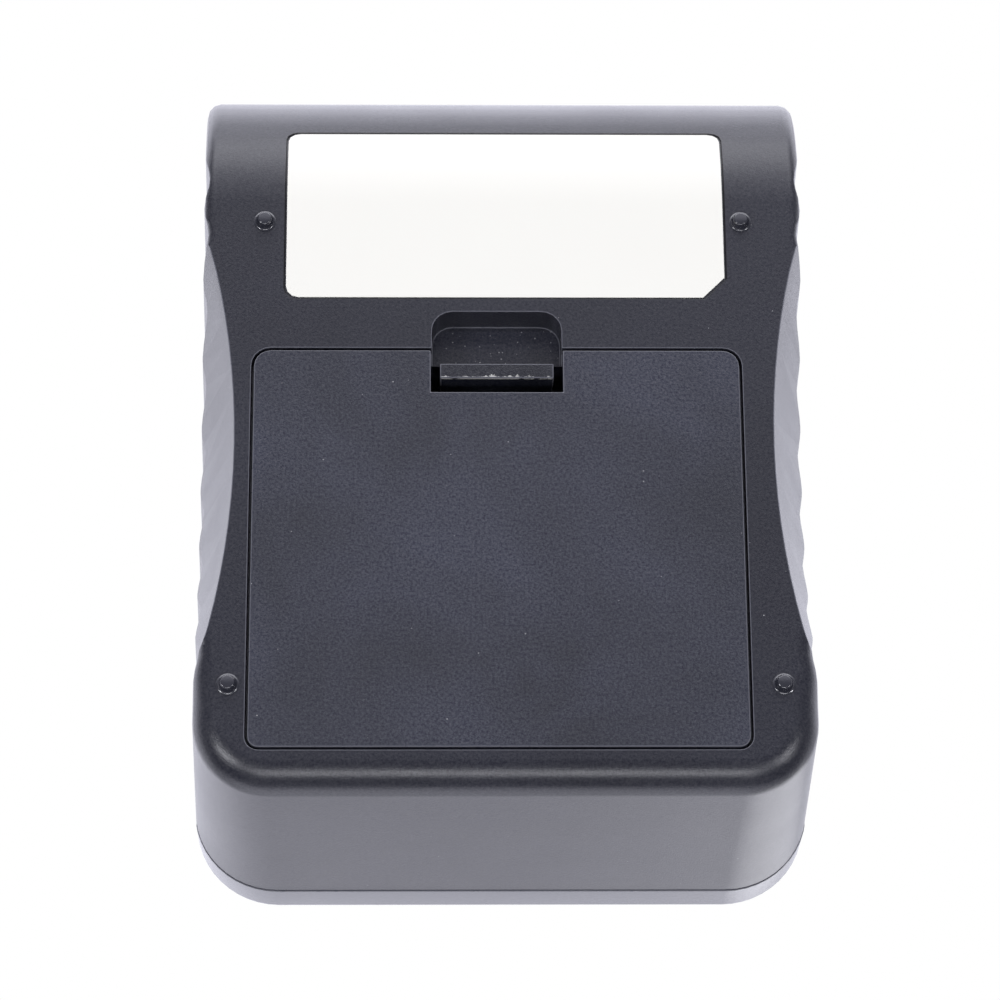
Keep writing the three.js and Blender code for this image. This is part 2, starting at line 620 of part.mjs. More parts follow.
function lowerCase() {
  const { envelope, shell } = lowerShell();
  const hoodTop = BASE + LATCH.legTop + 2 * GAP;
  const inside = [
    block(
      offsetX(COVER.reach + WALL),
      [COVER.front - WALL - TAB.hook, COVER.rear + WALL],
      [BASE + WALL / 2, FLOOR],
    ),
    block(offsetX(BAY.reach + BAY.wall), [BAY.front - BAY.wall, BAY.rear + BAY.wall], [FLOOR - GAP, BAY_TOP]),
    block(
      offsetX(LATCH.reach + LATCH.wall),
      [COVER.rear, LATCH.rear + LATCH.wall],
      [BASE + WALL / 2, LATCH_FLOOR + LATCH.wall],
    ),
    block(
      offsetX(LATCH.notchReach + LATCH.wall + GAP),
      [BAY.rear, COVER.rear + COVER_GAP],
      [FLOOR - GAP, hoodTop + LATCH.wall],
    ),
  ];
  const cuts = [
    prism("z", coverOutline(COVER_GAP), [BASE - OVERRUN, BASE + RECESS_DEPTH]),
    block(offsetX(BAY.reach), [BAY.front, BAY.rear], [BASE, BAY.ceiling]),
    prism("z", recessOutline(), [BASE - OVERRUN, LATCH_FLOOR]),
    block(
      offsetX(LATCH.notchReach + GAP),
      [LATCH.notchFront - LATCH.legThickness - GAP, LATCH.floorEdge],
      [BASE, hoodTop],
    ),
    block(
      offsetX(LATCH.barReach + GAP),
      [LATCH.floorEdge - GAP, LATCH.barRear + LATCH.tooth + GAP],
      [LATCH_FLOOR + LATCH.wall, hoodTop],
    ),
    block(
      around(0, LID_OPENING),
      [ROUND.y, REAR + OVERRUN],
      [HINGE.z - HINGE.barrel - HINGE.sweep, SEAM + OVERRUN],
    ),
    wrappedSheet(LABEL.margin, -LABEL.depth, OVERRUN / 2),
    block([-SEAM_HALF, WALL - BASE_HALF], around(PORT.y, PORT.wide / 2), around(PORT.z, PORT.high / 2)),
  ];
  for (const side of [-1, 1]) {
    for (const { x, y } of [CASE_SCREW, MECH_SCREW]) {
      inside.push(bar("z", CASE_SCREW.boss, [side * x, y], [FLOOR - GAP, BAY_TOP]));
      cuts.push(bar("z", CASE_SCREW.hole, [side * x, y], [BASE, BAY_TOP + OVERRUN]));
      cuts.push(bar("z", CASE_SCREW.head + GAP, [side * x, y], [BASE, HEAD_SEAT]));
    }
    const hinge = [HINGE.y, HINGE.z];
    inside.push(bar("x", HINGE.boss, hinge, sided(side, [LID_OPENING, HINGE.pinEnd]), CAP_SIDES));
    cuts.push(bar("x", HINGE.pin + GAP, hinge, sided(side, [LID.reach, HINGE.pinEnd - GAP])));
    cuts.push(
      block(
        around(COVER.offset + side * TAB.station, TAB.reach + GAP),
        [COVER.front - TAB.hook - GAP, COVER.front + TAB.root + TAB.swing],
        [TAB_LOW - GAP, FLOOR + OVERRUN],
      ),
    );
  }
  for (const x of BOARD_SCREW.x) {
    inside.push(bar("z", BOARD_SCREW.boss, [x, BOARD_SCREW.y], [BAY_TOP - GAP, BOARD.low - GAP]));
    cuts.push(bar("z", BOARD_SCREW.hole, [x, BOARD_SCREW.y], [BAY_TOP, BOARD_TOP]));
  }
  for (const centre of Object.values(FEET)) {
    cuts.push(bar("z", FOOT.peg + GAP, centre, [BASE - OVERRUN, BASE + FOOT.pegLength + GAP]));
  }
  for (const x of contactStations())
    cuts.push(block(around(x, CONTACT.pin + CONTACT.gap), contactRun(CONTACT.gap), [BAY.ceiling - WALL, BAY_TOP + WALL]));
  return without(shell.add(joined(...inside).intersect(envelope)), ...cuts);
}

function recessOutline() {
  const { reach, corner, floorEdge, rear } = LATCH;
  return roundedRectangle(offsetX(reach), [floorEdge, rear], [WELD, WELD, corner, corner]);
}

// Top case: control panel in front and an arm each side of the lid, with posts for screws and keypad

const LIP = { drop: 1.8, thickness: 1.1, end: 1.75 };

function topCase() {
  const low = SEAM + GAP;
  const plain = casePlan(false);
  const between = (outset, from, to) => loft([planRing(plain, outset, from), planRing(plain, outset, to)]);
  const inner = SEAM_RISE * DRAFT + RIM.step - WALL;
  const envelope = upperEnvelope(low).intersect(roundEnvelope());
  const hollow = between(inner, low - OVERRUN, TOP - WALL).intersect(
    prism("x", sideProfile(WALL), around(0, SEAM_HALF)),
  );
  const frame = block(
    around(0, LID_OPENING + PANEL.lip),
    [PANEL_REAR - PANEL.lip, REAR],
    [TOP - PANEL.lipHeight, TOP - WALL / 2],
  );
  const outset = SEAM_RISE * DRAFT - WALL - RIBS.depth / 2 - GAP;
  const lip = joined(between(outset, low - LIP.drop, low + WALL), between(inner + GAP, low, low + WALL))
    .subtract(between(outset - LIP.thickness, low - OVERRUN, low + OVERRUN))
    .intersect(block(around(0, SEAM_HALF), [FRONT, ROUND.y - LIP.end], [low - OVERRUN, low + WALL]));
  const opening = block(around(0, LID_OPENING), [PANEL_REAR, REAR + OVERRUN], [low - OVERRUN, TOP + OVERRUN]);
  const shell = joined(envelope.subtract(hollow), frame.intersect(envelope), lip).subtract(opening);

  const extras = [];
  const cuts = [];
  for (const side of [-1, 1]) {
    const screw = [side * CASE_SCREW.x, CASE_SCREW.y];
    const post = [side * POST.x, POST.y];
    const cap = [side * BUTTON.x, BUTTON.y];
    extras.push(
      bar("z", CASE_SCREW.boss, screw, [BAY_TOP + GAP, TOP - WALL / 2]),
      bar("z", POST.radius, post, [KEYPAD_TOP + GAP, TOP - WALL / 2]),
      block(
        sided(side, [TEAR.reach + GAP, LID_OPENING + PANEL.lip]),
        [PANEL_REAR - PANEL.lip, LID.front - PANEL.tab],
        [TOP - WALL, TOP],
      ),
    );
    cuts.push(
      bar("z", CASE_SCREW.hole, screw, [BAY_TOP, BAY_TOP + CASE_SCREW.grip + OVERRUN]),
      bar("z", BOARD_SCREW.hole, post, [KEYPAD_TOP, KEYPAD_TOP + POST.bite + SLACK]),
      bar("z", BUTTON.radius + BUTTON.gap, cap, [TOP - OVERRUN, TOP + OVERRUN], CAP_SIDES),
      bar("z", BUTTON.flange + GAP, cap, [BUTTON.flangeLow - OVERRUN, TOP - WALL], CAP_SIDES),
      turned(
        [
          [0, TOP - BUTTON.dish],
          [BUTTON.radius + BUTTON.gap, TOP - BUTTON.dish],
          [BUTTON.dishRadius, TOP + WELD],
          [BUTTON.dishRadius, TOP + OVERRUN],
          [0, TOP + OVERRUN],
        ],
        cap,
        CAP_SIDES,
      ),
    );
  }
  for (const x of LIGHT.stations)
    cuts.push(bar("z", LIGHT.radius + FINE_GAP, [x, BUTTON.y], [TOP - OVERRUN, TOP + OVERRUN]));
  return without(joined(shell, ...extras), ...cuts);
}

// Paper lid: a shell over the roll, with hinge knuckles behind and lugs for the platen in front

const LID_RIB = { stations: [8, 20], thickness: 1.1, depth: 0.9, from: 0.5 };
const GRIP = { count: 4, reach: 11, station: 3.4, pitch: 1.8, width: 1, crest: 0.4, proud: 0.35 };

function paperLid() {
  const inner = ROUND_RADIUS - WALL;
  const centre = [ROUND.y, ROUND.z];
  const barrel = [HINGE.y, HINGE.z];
  const tangent = Math.atan2(HINGE.z - ROUND.z, HINGE.y - ROUND.y);
  const lipEnd = HINGE.z - HINGE.barrel + HINGE.barrel / 2;
  const steps = ROUND_STEPS / 2;
  const outline = [
    [LID.front, TOP - WALL],
    [LID.front, TOP - LID.frontEdge],
    [LID.front + LID.frontEdge, TOP],
    ...arc(centre, ROUND_RADIUS, Math.PI / 2, tangent, steps),
    ...arc(barrel, HINGE.barrel, tangent, -Math.PI / 2, 6).slice(1),
    [HINGE.y, lipEnd],
    ...arc(centre, inner, Math.asin((HINGE.z + GAP - ROUND.z) / inner), Math.PI / 2, steps),
  ].reverse();
  const pieces = [prism("x", outline, around(0, LID.reach))];
  for (let k = 0; k < GRIP.count; k++) {
    const y = LID.front + GRIP.station + k * GRIP.pitch;
    const bar = [
      [y - GRIP.width / 2, TOP - WALL / 2],
      [y + GRIP.width / 2, TOP - WALL / 2],
      [y + GRIP.width / 2, TOP],
      [y + GRIP.crest / 2, TOP + GRIP.proud],
      [y - GRIP.crest / 2, TOP + GRIP.proud],
      [y - GRIP.width / 2, TOP],
    ];
    pieces.push(prism("x", bar, around(0, GRIP.reach)));
  }
  const cuts = [];
  for (const side of [-1, 1]) {
    const lug = sided(side, LUG.x);
    pieces.push(
      bar("x", HINGE.barrel, barrel, sided(side, HINGE.x), BOSS_SIDES),
      bar("x", LUG.radius, AXES.platen, lug, BOSS_SIDES),
      block(lug, around(PLATEN.y, LUG.radius), [PLATEN.z, TOP - WALL / 2]),
    );
    for (const x of LID_RIB.stations)
      pieces.push(
        prism(
          "x",
          [
            ...arc(centre, inner - LID_RIB.depth, LID_RIB.from, Math.PI / 2, steps),
            ...arc(centre, inner + WALL / 2, Math.PI / 2, LID_RIB.from, steps),
          ].reverse(),
          sided(side, [x, x + LID_RIB.thickness]),
        ),
      );
    cuts.push(bar("x", HINGE.pin + GAP, barrel, sided(side, [HINGE.x[0] + SLACK, LID.reach + OVERRUN])));
    cuts.push(bar("x", BUSH.radius + GAP, AXES.platen, sided(side, [LUG.x[0] - SLACK, LUG.x[1] + SLACK]), BOSS_SIDES));
  }
  return without(joined(...pieces), ...cuts);
}

// Feet: small tapered studs, each with a peg in the underside and a hollow fillet at its root
function foot(centre) {
  const { tip, edge, waist, fillet, seat, peg, pegLength } = FOOT;
  const root = BASE - seat;
  return turned(
    [
      [0, 0],
      ...arc([tip - edge, edge], edge, -Math.PI / 2, 0, 3),
      ...arc([waist + fillet, root - fillet], fillet, Math.PI, Math.PI / 2, 3),
      [peg, root],
      [peg, root + pegLength],
      [0, root + pegLength],
    ],
    centre,
    FOOT_SIDES,
  );
}

// Paper bin: two cheek guides and a curved front wall that keep the roll off the mechanism

const BIN = { side: 0.6, wall: 1.2, drop: 2.2, clear: 5, rimShares: { front: 0.5, rear: 0.58 } };

function paperBin() {
  const centre = [ROUND.y, ROUND.z];
  const radius = ROUND_RADIUS - WALL - GAP;
  const reach = PAPER_WIDTH / 2 + BIN.side;
  const rim = SEAM - BIN.drop;
  const rimFront = ROUND.y - ROUND_RADIUS * BIN.rimShares.front;
  const rimRear = ROUND.y + ROUND_RADIUS * BIN.rimShares.rear;
  const cheek = [
    ...arc(centre, radius, -0.72 * Math.PI, -0.05 * Math.PI, 18),
    [HINGE.y - BIN.clear, HINGE.z - BIN.clear],
    [rimRear, rim],
    [rimFront, rim],
    ...arc(centre, radius, 0.86 * Math.PI, 1.27 * Math.PI, 10).slice(0, -1),
  ];
  const front = [
    ...arc(centre, radius, 0.84 * Math.PI, 1.25 * Math.PI, 10),
    ...arc(centre, radius - BIN.wall, 1.25 * Math.PI, 0.84 * Math.PI, 10),
  ];
  const pieces = [prism("x", front, around(0, reach + BIN.wall))];
  for (const side of [-1, 1]) {
    pieces.push(prism("x", cheek, sided(side, [reach, reach + BIN.wall])));
    pieces.push(block(sided(side, [reach, LID.reach]), [rimFront, rimRear], [rim - BIN.wall, rim]));
  }
  return joined(...pieces);
}

// Mechanism frame: base, spring wall and side plates; the right plate also carries motor and idler
function mechanismFrame() {
  const { low, base, front, rear, wall, top, tail, notchLip } = CHASSIS;
  const notchRadius = BUSH.radius + GAP;
  const notch = arc(AXES.platen, notchRadius, -Math.PI / 4, -Math.PI, 8);
  const plate = [
    [front, low],
    [rear, low],
    [rear, PLATEN.z - 2 * LUG.radius],
    [rear + tail, PLATEN.z - LUG.radius],
    [rear + tail, notch[0][1]],
    ...notch,
    [PLATEN.y - notchRadius, top],
    [PLATEN.y - notchRadius - notchLip, top],
    [front, PLATEN.z - notchLip],
  ];
  const { radius } = MOTOR;
  const carrier = [
    [MOTOR.y - radius, MOTOR.z + radius * 0.7],
    [MOTOR.y - radius, MOTOR.z - radius * 0.7],
    [MOTOR.y + radius * 0.55, MOTOR.z - radius],
    [front + wall, low + wall],
    [front + wall, PLATEN.z - IDLER.rise],
    [MOTOR.y - radius * 0.4, MOTOR.z + radius],
  ];
  const pieces = [
    prism("x", plate, sided(-1, PLATE.x)),
    prism("x", plate, PLATE.x),
    prism("x", carrier, PLATE.x),
    block(around(0, PLATE.x[1]), [front, rear], [low, low + base]),
    block(around(0, PLATE.x[1]), [front, front + wall], [low, PIVOT.z + HEAD.pivotLift]),
  ];
  const cuts = [
    bar("x", PIVOT.pin + GAP, AXES.pivot, around(0, SEAM_HALF)),
    bar("x", IDLER.pin + GAP, AXES.idler, [0, SEAM_HALF]),
    bar("x", MOTOR.boss + GAP, AXES.motor, [0, SEAM_HALF]),
  ];
  for (const side of [-1, 1])
    cuts.push(bar("z", CASE_SCREW.hole, [side * MECH_SCREW.x, MECH_SCREW.y], [low - SLACK, low + base + SLACK]));
  return without(joined(...pieces), ...cuts);
}

// Spur gear with straight-flanked teeth, one tooth at the given phase angle in the Y-Z plane
const TOOTH = { pressure: Math.PI / 9, dedendumShare: 1.25, corners: 4 };

function gear(teeth, centre, phase, bore) {
  const radius = pitchRadius(teeth);
  const tip = radius + GEAR.module;
  const root = radius - TOOTH.dedendumShare * GEAR.module;
  const flank = GEAR.module * Math.tan(TOOTH.pressure);
  const thickness = (Math.PI * GEAR.module - GEAR.backlash * 2) / 4;
  const outline = [];
  for (let k = 0; k < teeth; k++) {
    const middle = phase + (2 * Math.PI * k) / teeth;
    const foot = thickness + TOOTH.dedendumShare * flank;
    const crest = thickness - flank;
    for (const [r, offset] of [[root, -foot], [tip, -crest], [tip, crest], [root, foot]]) {
      const angle = middle + offset / r;
      outline.push([centre[0] + r * Math.cos(angle), centre[1] + r * Math.sin(angle)]);
    }
  }
  return prism("x", outline, GEAR.x, { holes: [arc(centre, bore, 0, 2 * Math.PI, 20).slice(1)] });
}

// Phase that puts a gear in mesh with its neighbour, given the neighbour's own phase
function meshPhase(teeth, centre, otherTeeth, other, otherPhase) {
  const towards = Math.atan2(centre[1] - other[1], centre[0] - other[0]);
  const share = (towards - otherPhase) / ((2 * Math.PI) / otherTeeth);
  return towards + Math.PI - ((2 * Math.PI) / teeth) * (1 / 2 - share);
}

// Platen: rubber roller on a steel shaft that turns in two bushes
function platenRoller() {
  const bore = arc(AXES.platen, PLATEN.shaft + GAP, 0, 2 * Math.PI, PIN_SIDES).slice(1);
  const outline = arc(AXES.platen, PLATEN.radius, 0, 2 * Math.PI, CAP_SIDES).slice(1);
  return prism("x", outline, around(0, PLATEN.reach), { holes: [bore] });
}

function platenBush(side) {
  const [low, high] = sided(side, BUSH.x);
  const bore = bar("x", PLATEN.shaft + GAP, AXES.platen, [low - SLACK, high + SLACK]);
  return bar("x", BUSH.radius, AXES.platen, [low, high], BOSS_SIDES).subtract(bore);
}

// Print head: ceramic strip with its raised heater line, and the aluminium plate behind it
function printHead() {
  const back = HEAD.face - HEAD.thickness;
  const strip = block(around(0, HEAD.reach), [back, HEAD.face - HEAD.proud], [HEAD.top - HEAD.height, HEAD.top]);
  return strip.add(block(around(0, HEAD.reach - HEAD.inset), [back, HEAD.face], around(PLATEN.z, HEAD.lineWidth / 2)));
}

function headSink() {
  const face = HEAD.face - HEAD.thickness - GAP;
  const outline = [
    [PIVOT.y - PIVOT.lug, PIVOT.z + PIVOT.heel],
    ...arc(AXES.pivot, PIVOT.lug, -Math.PI, -Math.PI / 2, 5),
    [face, PIVOT.z - PIVOT.lug],
    [face, HEAD.top],
    [HEAD.back, HEAD.top],
    [HEAD.back, PIVOT.z + PIVOT.heel],
  ];
  const hole = bar("x", PIVOT.pin + GAP, AXES.pivot, around(0, SEAM_HALF));
  return prism("x", outline, around(0, HEAD.reach)).subtract(hole);
}

// Compression spring along Y between the head and the frame, as one unbroken wire
function headSpring(x) {
  const from = HEAD.back - GAP - SPRING.wire;
  const to = CHASSIS.front + CHASSIS.wall + GAP + SPRING.wire;
  const z = HEAD.top - SPRING.drop;
  const count = SPRING.turns * SPRING.steps;
  const wire = [];
  for (let i = 0; i <= count; i++) {
    const turn = (2 * Math.PI * i) / SPRING.steps;
    const y = THREE.MathUtils.lerp(from, to, i / count);
    wire.push(new THREE.Vector3(x + SPRING.radius * Math.cos(turn), y, z + SPRING.radius * Math.sin(turn)));
  }
  const points = [];
  wire.forEach((point, i) => {
    const along = wire[Math.min(i + 1, count)].clone().sub(wire[Math.max(i - 1, 0)]).normalize();
    const across = new THREE.Vector3(0, 1, 0).cross(along).normalize();
    const up = along.clone().cross(across);
    for (let k = 0; k < SPRING.sides; k++) {
      const angle = (2 * Math.PI * k) / SPRING.sides;
      const offset = across.clone().multiplyScalar(Math.cos(angle)).addScaledVector(up, Math.sin(angle));
      points.push(point.clone().addScaledVector(offset, SPRING.wire));
    }
  });
  const index = [];
  for (let i = 0; i < count; i++)
    for (let k = 0; k < SPRING.sides; k++) {
      const next = (k + 1) % SPRING.sides;
      const a = i * SPRING.sides;
      const b = a + SPRING.sides;
      index.push(a + k, a + next, b + next, a + k, b + next, b + k);
    }
  const end = count * SPRING.sides;
  for (let k = 1; k + 1 < SPRING.sides; k++) index.push(0, k + 1, k, end, end + k, end + k + 1);
  const geometry = new THREE.BufferGeometry().setFromPoints(points);
  geometry.setIndex(index);
  return solidFrom(geometry);
}

// Tear bar: a thin steel strip with saw teeth along its top, behind the control panel

const TEAR = { overhang: 1, thickness: 0.6, pitch: 1.5, tooth: 0.7, drop: 4.6 };
TEAR.reach = PAPER_WIDTH / 2 + TEAR.overhang;

function tearBar() {
  const count = Math.round((2 * TEAR.reach) / TEAR.pitch);
  const pitch = (2 * TEAR.reach) / count;
  const outline = [];
  for (let k = 0; k < count; k++) {
    const x = k * pitch - TEAR.reach;
    outline.push([TOP - TEAR.tooth, x], [TOP, x + pitch / 2]);
  }
  outline.push([TOP - TEAR.tooth, TEAR.reach], [TOP - TEAR.drop, TEAR.reach], [TOP - TEAR.drop, -TEAR.reach]);
  return prism("y", outline, [PANEL_REAR + GAP, PANEL_REAR + GAP + TEAR.thickness]);
}

// Keypad: caps with retaining flange and stem, switches, lights and their board
function button(side) {
  const { radius, flange, flangeLow, flangeHeight, proud, stem, stemEnd, crown } = BUTTON;
  return turned(
    [
      [0, stemEnd],
      [stem, stemEnd],
      [stem, flangeLow],
      [flange, flangeLow],
      [flange, flangeLow + flangeHeight],
      [radius, flangeLow + flangeHeight],
      [radius, TOP + proud - crown],
      [radius - crown, TOP + proud],
      [0, TOP + proud - crown / 2],
    ],
    [side * BUTTON.x, BUTTON.y],
    CAP_SIDES,
  );
}

function tactSwitch(side) {
  const x = side * BUTTON.x;
  const low = KEYPAD_TOP + GAP;
  const high = low + SWITCH.height;
  return joined(
    block(around(x, SWITCH.reach), around(BUTTON.y, SWITCH.reach), [low, high]),
    bar("z", SWITCH.plunger, [x, BUTTON.y], [high - FINE_GAP, SWITCH_TOP]),
  );
}

function lightPipe(x) {
  const shoulder = TOP - WALL - GAP;
  const { radius, flange, flangeHeight, proud, crown } = LIGHT;
  return turned(
    [
      [0, KEYPAD_TOP + LIGHT.lift],
      [radius, KEYPAD_TOP + LIGHT.lift],
      [radius, shoulder - flangeHeight],
      [flange, shoulder - flangeHeight],
      [flange, shoulder],
      [radius, shoulder],
      [radius, TOP + proud],
      [0, TOP + proud + crown],
    ],
    [x, BUTTON.y],
    SCREW_SIDES,
  );
}

function keypadBoard() {
  const z = [KEYPAD_TOP - FINE_GAP, KEYPAD_TOP + KEYPAD.lamp];
  const lamps = LIGHT.stations.map((x) => block(around(x, KEYPAD.lamp), around(BUTTON.y, KEYPAD.lamp), z));
  const board = joined(block(around(0, KEYPAD.x), KEYPAD.y, [KEYPAD.z, KEYPAD_TOP]), ...lamps);
  const range = [KEYPAD.z - SLACK, KEYPAD_TOP + SLACK];
  return without(board, ...[-1, 1].map((side) => bar("z", BOARD_SCREW.hole, [side * POST.x, POST.y], range)));
}

// Main board with its larger components, and the charging socket on it
function mainBoard() {
  const along = ([low, high], share) => low + (high - low) * share;
  const chips = Object.entries(CHIP_SHARES).map(([name, [x, y, wide, deep]]) =>
    block(
      [along(BOARD.x, x), along(BOARD.x, x + wide)],
      [along(BOARD.y, y), along(BOARD.y, y + deep)],
      [BOARD_TOP - FINE_GAP, BOARD_TOP + CHIP_HEIGHT[name]],
    ),
  );
  const board = joined(block(BOARD.x, BOARD.y, [BOARD.low, BOARD_TOP]), ...chips);
  const range = [BOARD.low - SLACK, BOARD_TOP + SLACK];
  return without(board, ...BOARD_SCREW.x.map((x) => bar("z", BOARD_SCREW.hole, [x, BOARD_SCREW.y], range)));
}

function usbSocket() {
  const mouth = USB.sunk - halfWidthAt(PORT.z);
  const back = BOARD.x[0] + USB.deep;
  const z = [BOARD_TOP + GAP, BOARD_TOP + GAP + USB.high];
  const wide = USB.wide / 2;
  const shell = block([mouth, back], around(PORT.y, wide), z);
  const inner = block(
    [mouth - SLACK, back - USB.back],
    around(PORT.y, wide - USB.wall),
    [z[0] + USB.wall, z[1] - USB.wall],
  );
  const middle = (z[0] + z[1]) / 2;
  const tongue = block(
    [mouth + USB.tongue, back - USB.back / 2],
    around(PORT.y, wide - USB.sunk),
    around(middle, USB.tongue / 2),
  );
  return shell.subtract(inner).add(tongue);
}

// Battery pack, and the contact block that reaches it through the compartment's ceiling
function batteryPack() {
  const low = FLOOR - BATTERY.sag;
  const front = BAY.front + BATTERY.endSlack / 2;
  const r = BATTERY.corner;
  const outline = roundedRectangle([front, front + BATTERY.run], [low, low + BATTERY.height], [r, r, r, r]);
  return prism("x", outline, offsetX(BATTERY.reach), { bevel: BATTERY.bevel, bevelSteps: 2 });
}

const CONTACT = { x: -9, reach: 5, station: 8, run: 4, pitch: 3.6, pin: 0.6, gap: 0.4 };
const contactStations = () => [CONTACT.x - CONTACT.pitch, CONTACT.x, CONTACT.x + CONTACT.pitch];

function contactRun(grow) {
  const inset = CONTACT.run / 4 - grow;
  return [BAY.front + CONTACT.station + inset, BAY.front + CONTACT.station + CONTACT.run - inset];
}

function contactBlock() {
  const run = [BAY.front + CONTACT.station, BAY.front + CONTACT.station + CONTACT.run];
  const pins = contactStations().map((x) =>
    block(around(x, CONTACT.pin), contactRun(0), [BAY.ceiling - FINE_GAP, BAY_TOP + 2 * GAP]),
  );
  return joined(block(around(CONTACT.x, CONTACT.reach), run, [BAY_TOP + GAP, BOARD.low - GAP]), ...pins);
}

// A pan-head cross screw that points up, its head low
function screw([x, y], seat, bite) {
  const { head, headHeight, shank, slot } = CASE_SCREW;
  const low = seat - GAP - headHeight;
  const arm = head * 0.6;
  const sunk = [low - SLACK, low + slot];
  return without(
    turned(
      [
        [0, low],
        [head - slot, low],
        [head, low + slot],
        [head, seat - GAP],
        [shank, seat - GAP],
        [shank, seat + bite - shank],
        [shank / 4, seat + bite],
        [0, seat + bite],
      ],
      [x, y],
      SCREW_SIDES,
    ),
    block(around(x, arm), around(y, slot / 2), sunk),
    block(around(x, slot / 2), around(y, arm), sunk),
  );
}

// A small screw through a board, its head on the board's top or underside
function boardScrew(centre, seat, up, bite) {
  const { head, headHeight, shank } = BOARD_SCREW;
  const s = up ? 1 : -1;
  const ordered = (a, b) => [Math.min(a, b), Math.max(a, b)];
  return joined(
    bar("z", head, centre, ordered(seat - s * (GAP + headHeight), seat - s * GAP), SCREW_SIDES),
    bar("z", shank, centre, ordered(seat - s * (GAP + FINE_GAP), seat + s * bite), SCREW_SIDES),
  );
}

// Everything placed in one group

const root = new THREE.Group();

function place(name, solid, color, roughness, metalness = 0) {
  const material = new THREE.MeshStandardMaterial({ color, roughness, metalness });
  const mesh = new THREE.Mesh(geometryFrom(solid), material);
  mesh.name = name;
  root.add(mesh);
}

const placeSteel = (name, solid) => place(name, solid, STEEL, 0.3, 1);

place("lower_case", lowerCase(), PLASTIC.dark, 0.5);
place("top_case", topCase(), PLASTIC.grey, 0.45);
place("paper_lid", paperLid(), PLASTIC.dark, 0.45);
place("battery_cover", batteryCover(), PLASTIC.cover, 0.52);
place("rating_label", ratingLabel(), PLASTIC.white, 0.55);
for (const [name, centre] of Object.entries(FEET)) place(name, foot(centre), PLASTIC.dark, 0.5);
placeSteel("tear_bar", tearBar());
place("power_button", button(-1), PLASTIC.inner, 0.4);
place("feed_button", button(1), PLASTIC.inner, 0.4);
const lightNames = ["battery_light", "status_light", "wireless_light"];
LIGHT.stations.forEach((x, i) => place(lightNames[i], lightPipe(x), 0xdfe6ea, 0.2));
place("keypad_board", keypadBoard(), BOARD_GREEN, 0.6);
place("power_switch", tactSwitch(-1), PLASTIC.inner, 0.5);
place("feed_switch", tactSwitch(1), PLASTIC.inner, 0.5);
place("main_board", mainBoard(), BOARD_GREEN, 0.6);
placeSteel("usb_socket", usbSocket());
place("battery_pack", batteryPack(), 0x2a3a6a, 0.5);
place("battery_contacts", contactBlock(), 0xc9a860, 0.35, 1);
place("paper_bin", paperBin(), PLASTIC.inner, 0.55);
place("mechanism_frame", mechanismFrame(), PLASTIC.inner, 0.55);
place("print_head", printHead(), 0x8f8f88, 0.35);
place("head_sink", headSink(), 0xc4c6c8, 0.4, 1);
placeSteel("head_pivot_pin", bar("x", PIVOT.pin, AXES.pivot, around(0, PLATE.x[1])));
place("platen_roller", platenRoller(), 0x2b2b2d, 0.75);
placeSteel("platen_shaft", bar("x", PLATEN.shaft, AXES.platen, [-BUSH.x[1] - SLACK, GEAR.x[1] + PLATEN.shaftTail]));
const idlerPhase = meshPhase(GEAR.idler, AXES.idler, GEAR.platen, AXES.platen, 0);
const pinionPhase = meshPhase(GEAR.pinion, AXES.motor, GEAR.idler, AXES.idler, idlerPhase);
place("platen_gear", gear(GEAR.platen, AXES.platen, 0, PLATEN.shaft + GAP), ACETAL, 0.5);
place("idler_gear", gear(GEAR.idler, AXES.idler, idlerPhase, IDLER.pin + GAP), ACETAL, 0.5);
placeSteel("idler_pin", bar("x", IDLER.pin, AXES.idler, [PLATE.x[0], GEAR.x[1] + IDLER.head]));
placeSteel(
  "stepper_motor",
  joined(
    bar("x", MOTOR.radius, AXES.motor, MOTOR.x, CAP_SIDES),
    bar("x", MOTOR.boss, AXES.motor, [MOTOR.x[1] - FINE_GAP, PLATE.x[1]]),
  ),
);
place("motor_pinion", gear(GEAR.pinion, AXES.motor, pinionPhase, MOTOR.shaft), 0xd1b36a, 0.35, 1);

for (const [name, side, index] of [["left", -1, 0], ["right", 1, 1]]) {
  place("platen_bush_" + name, platenBush(side), ACETAL, 0.5);
  placeSteel("head_spring_" + name, headSpring(side * (HEAD.reach - SPRING.inset)));
  const pin = sided(side, [HINGE.x[0] + SLACK + GAP, HINGE.pinEnd - 2 * GAP]);
  placeSteel("hinge_pin_" + name, bar("x", HINGE.pin, [HINGE.y, HINGE.z], pin));
  const rise = BAY_TOP - HEAD_SEAT;
  placeSteel("case_screw_" + name, screw([side * CASE_SCREW.x, CASE_SCREW.y], HEAD_SEAT, rise + CASE_SCREW.grip));
  placeSteel(
    "mechanism_screw_" + name,
    screw([side * MECH_SCREW.x, MECH_SCREW.y], HEAD_SEAT, rise + MECH_SCREW.grip),
  );
  const board = [BOARD_SCREW.x[index], BOARD_SCREW.y];
  placeSteel("board_screw_" + name, boardScrew(board, BOARD_TOP, false, BOARD.thickness + BOARD_SCREW.bite));
  const post = [side * POST.x, POST.y];
  placeSteel("keypad_screw_" + name, boardScrew(post, KEYPAD.z, true, KEYPAD.thickness + POST.bite));
}

export default root;
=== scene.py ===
import json
import math

import bpy
from mathutils import Matrix, Vector


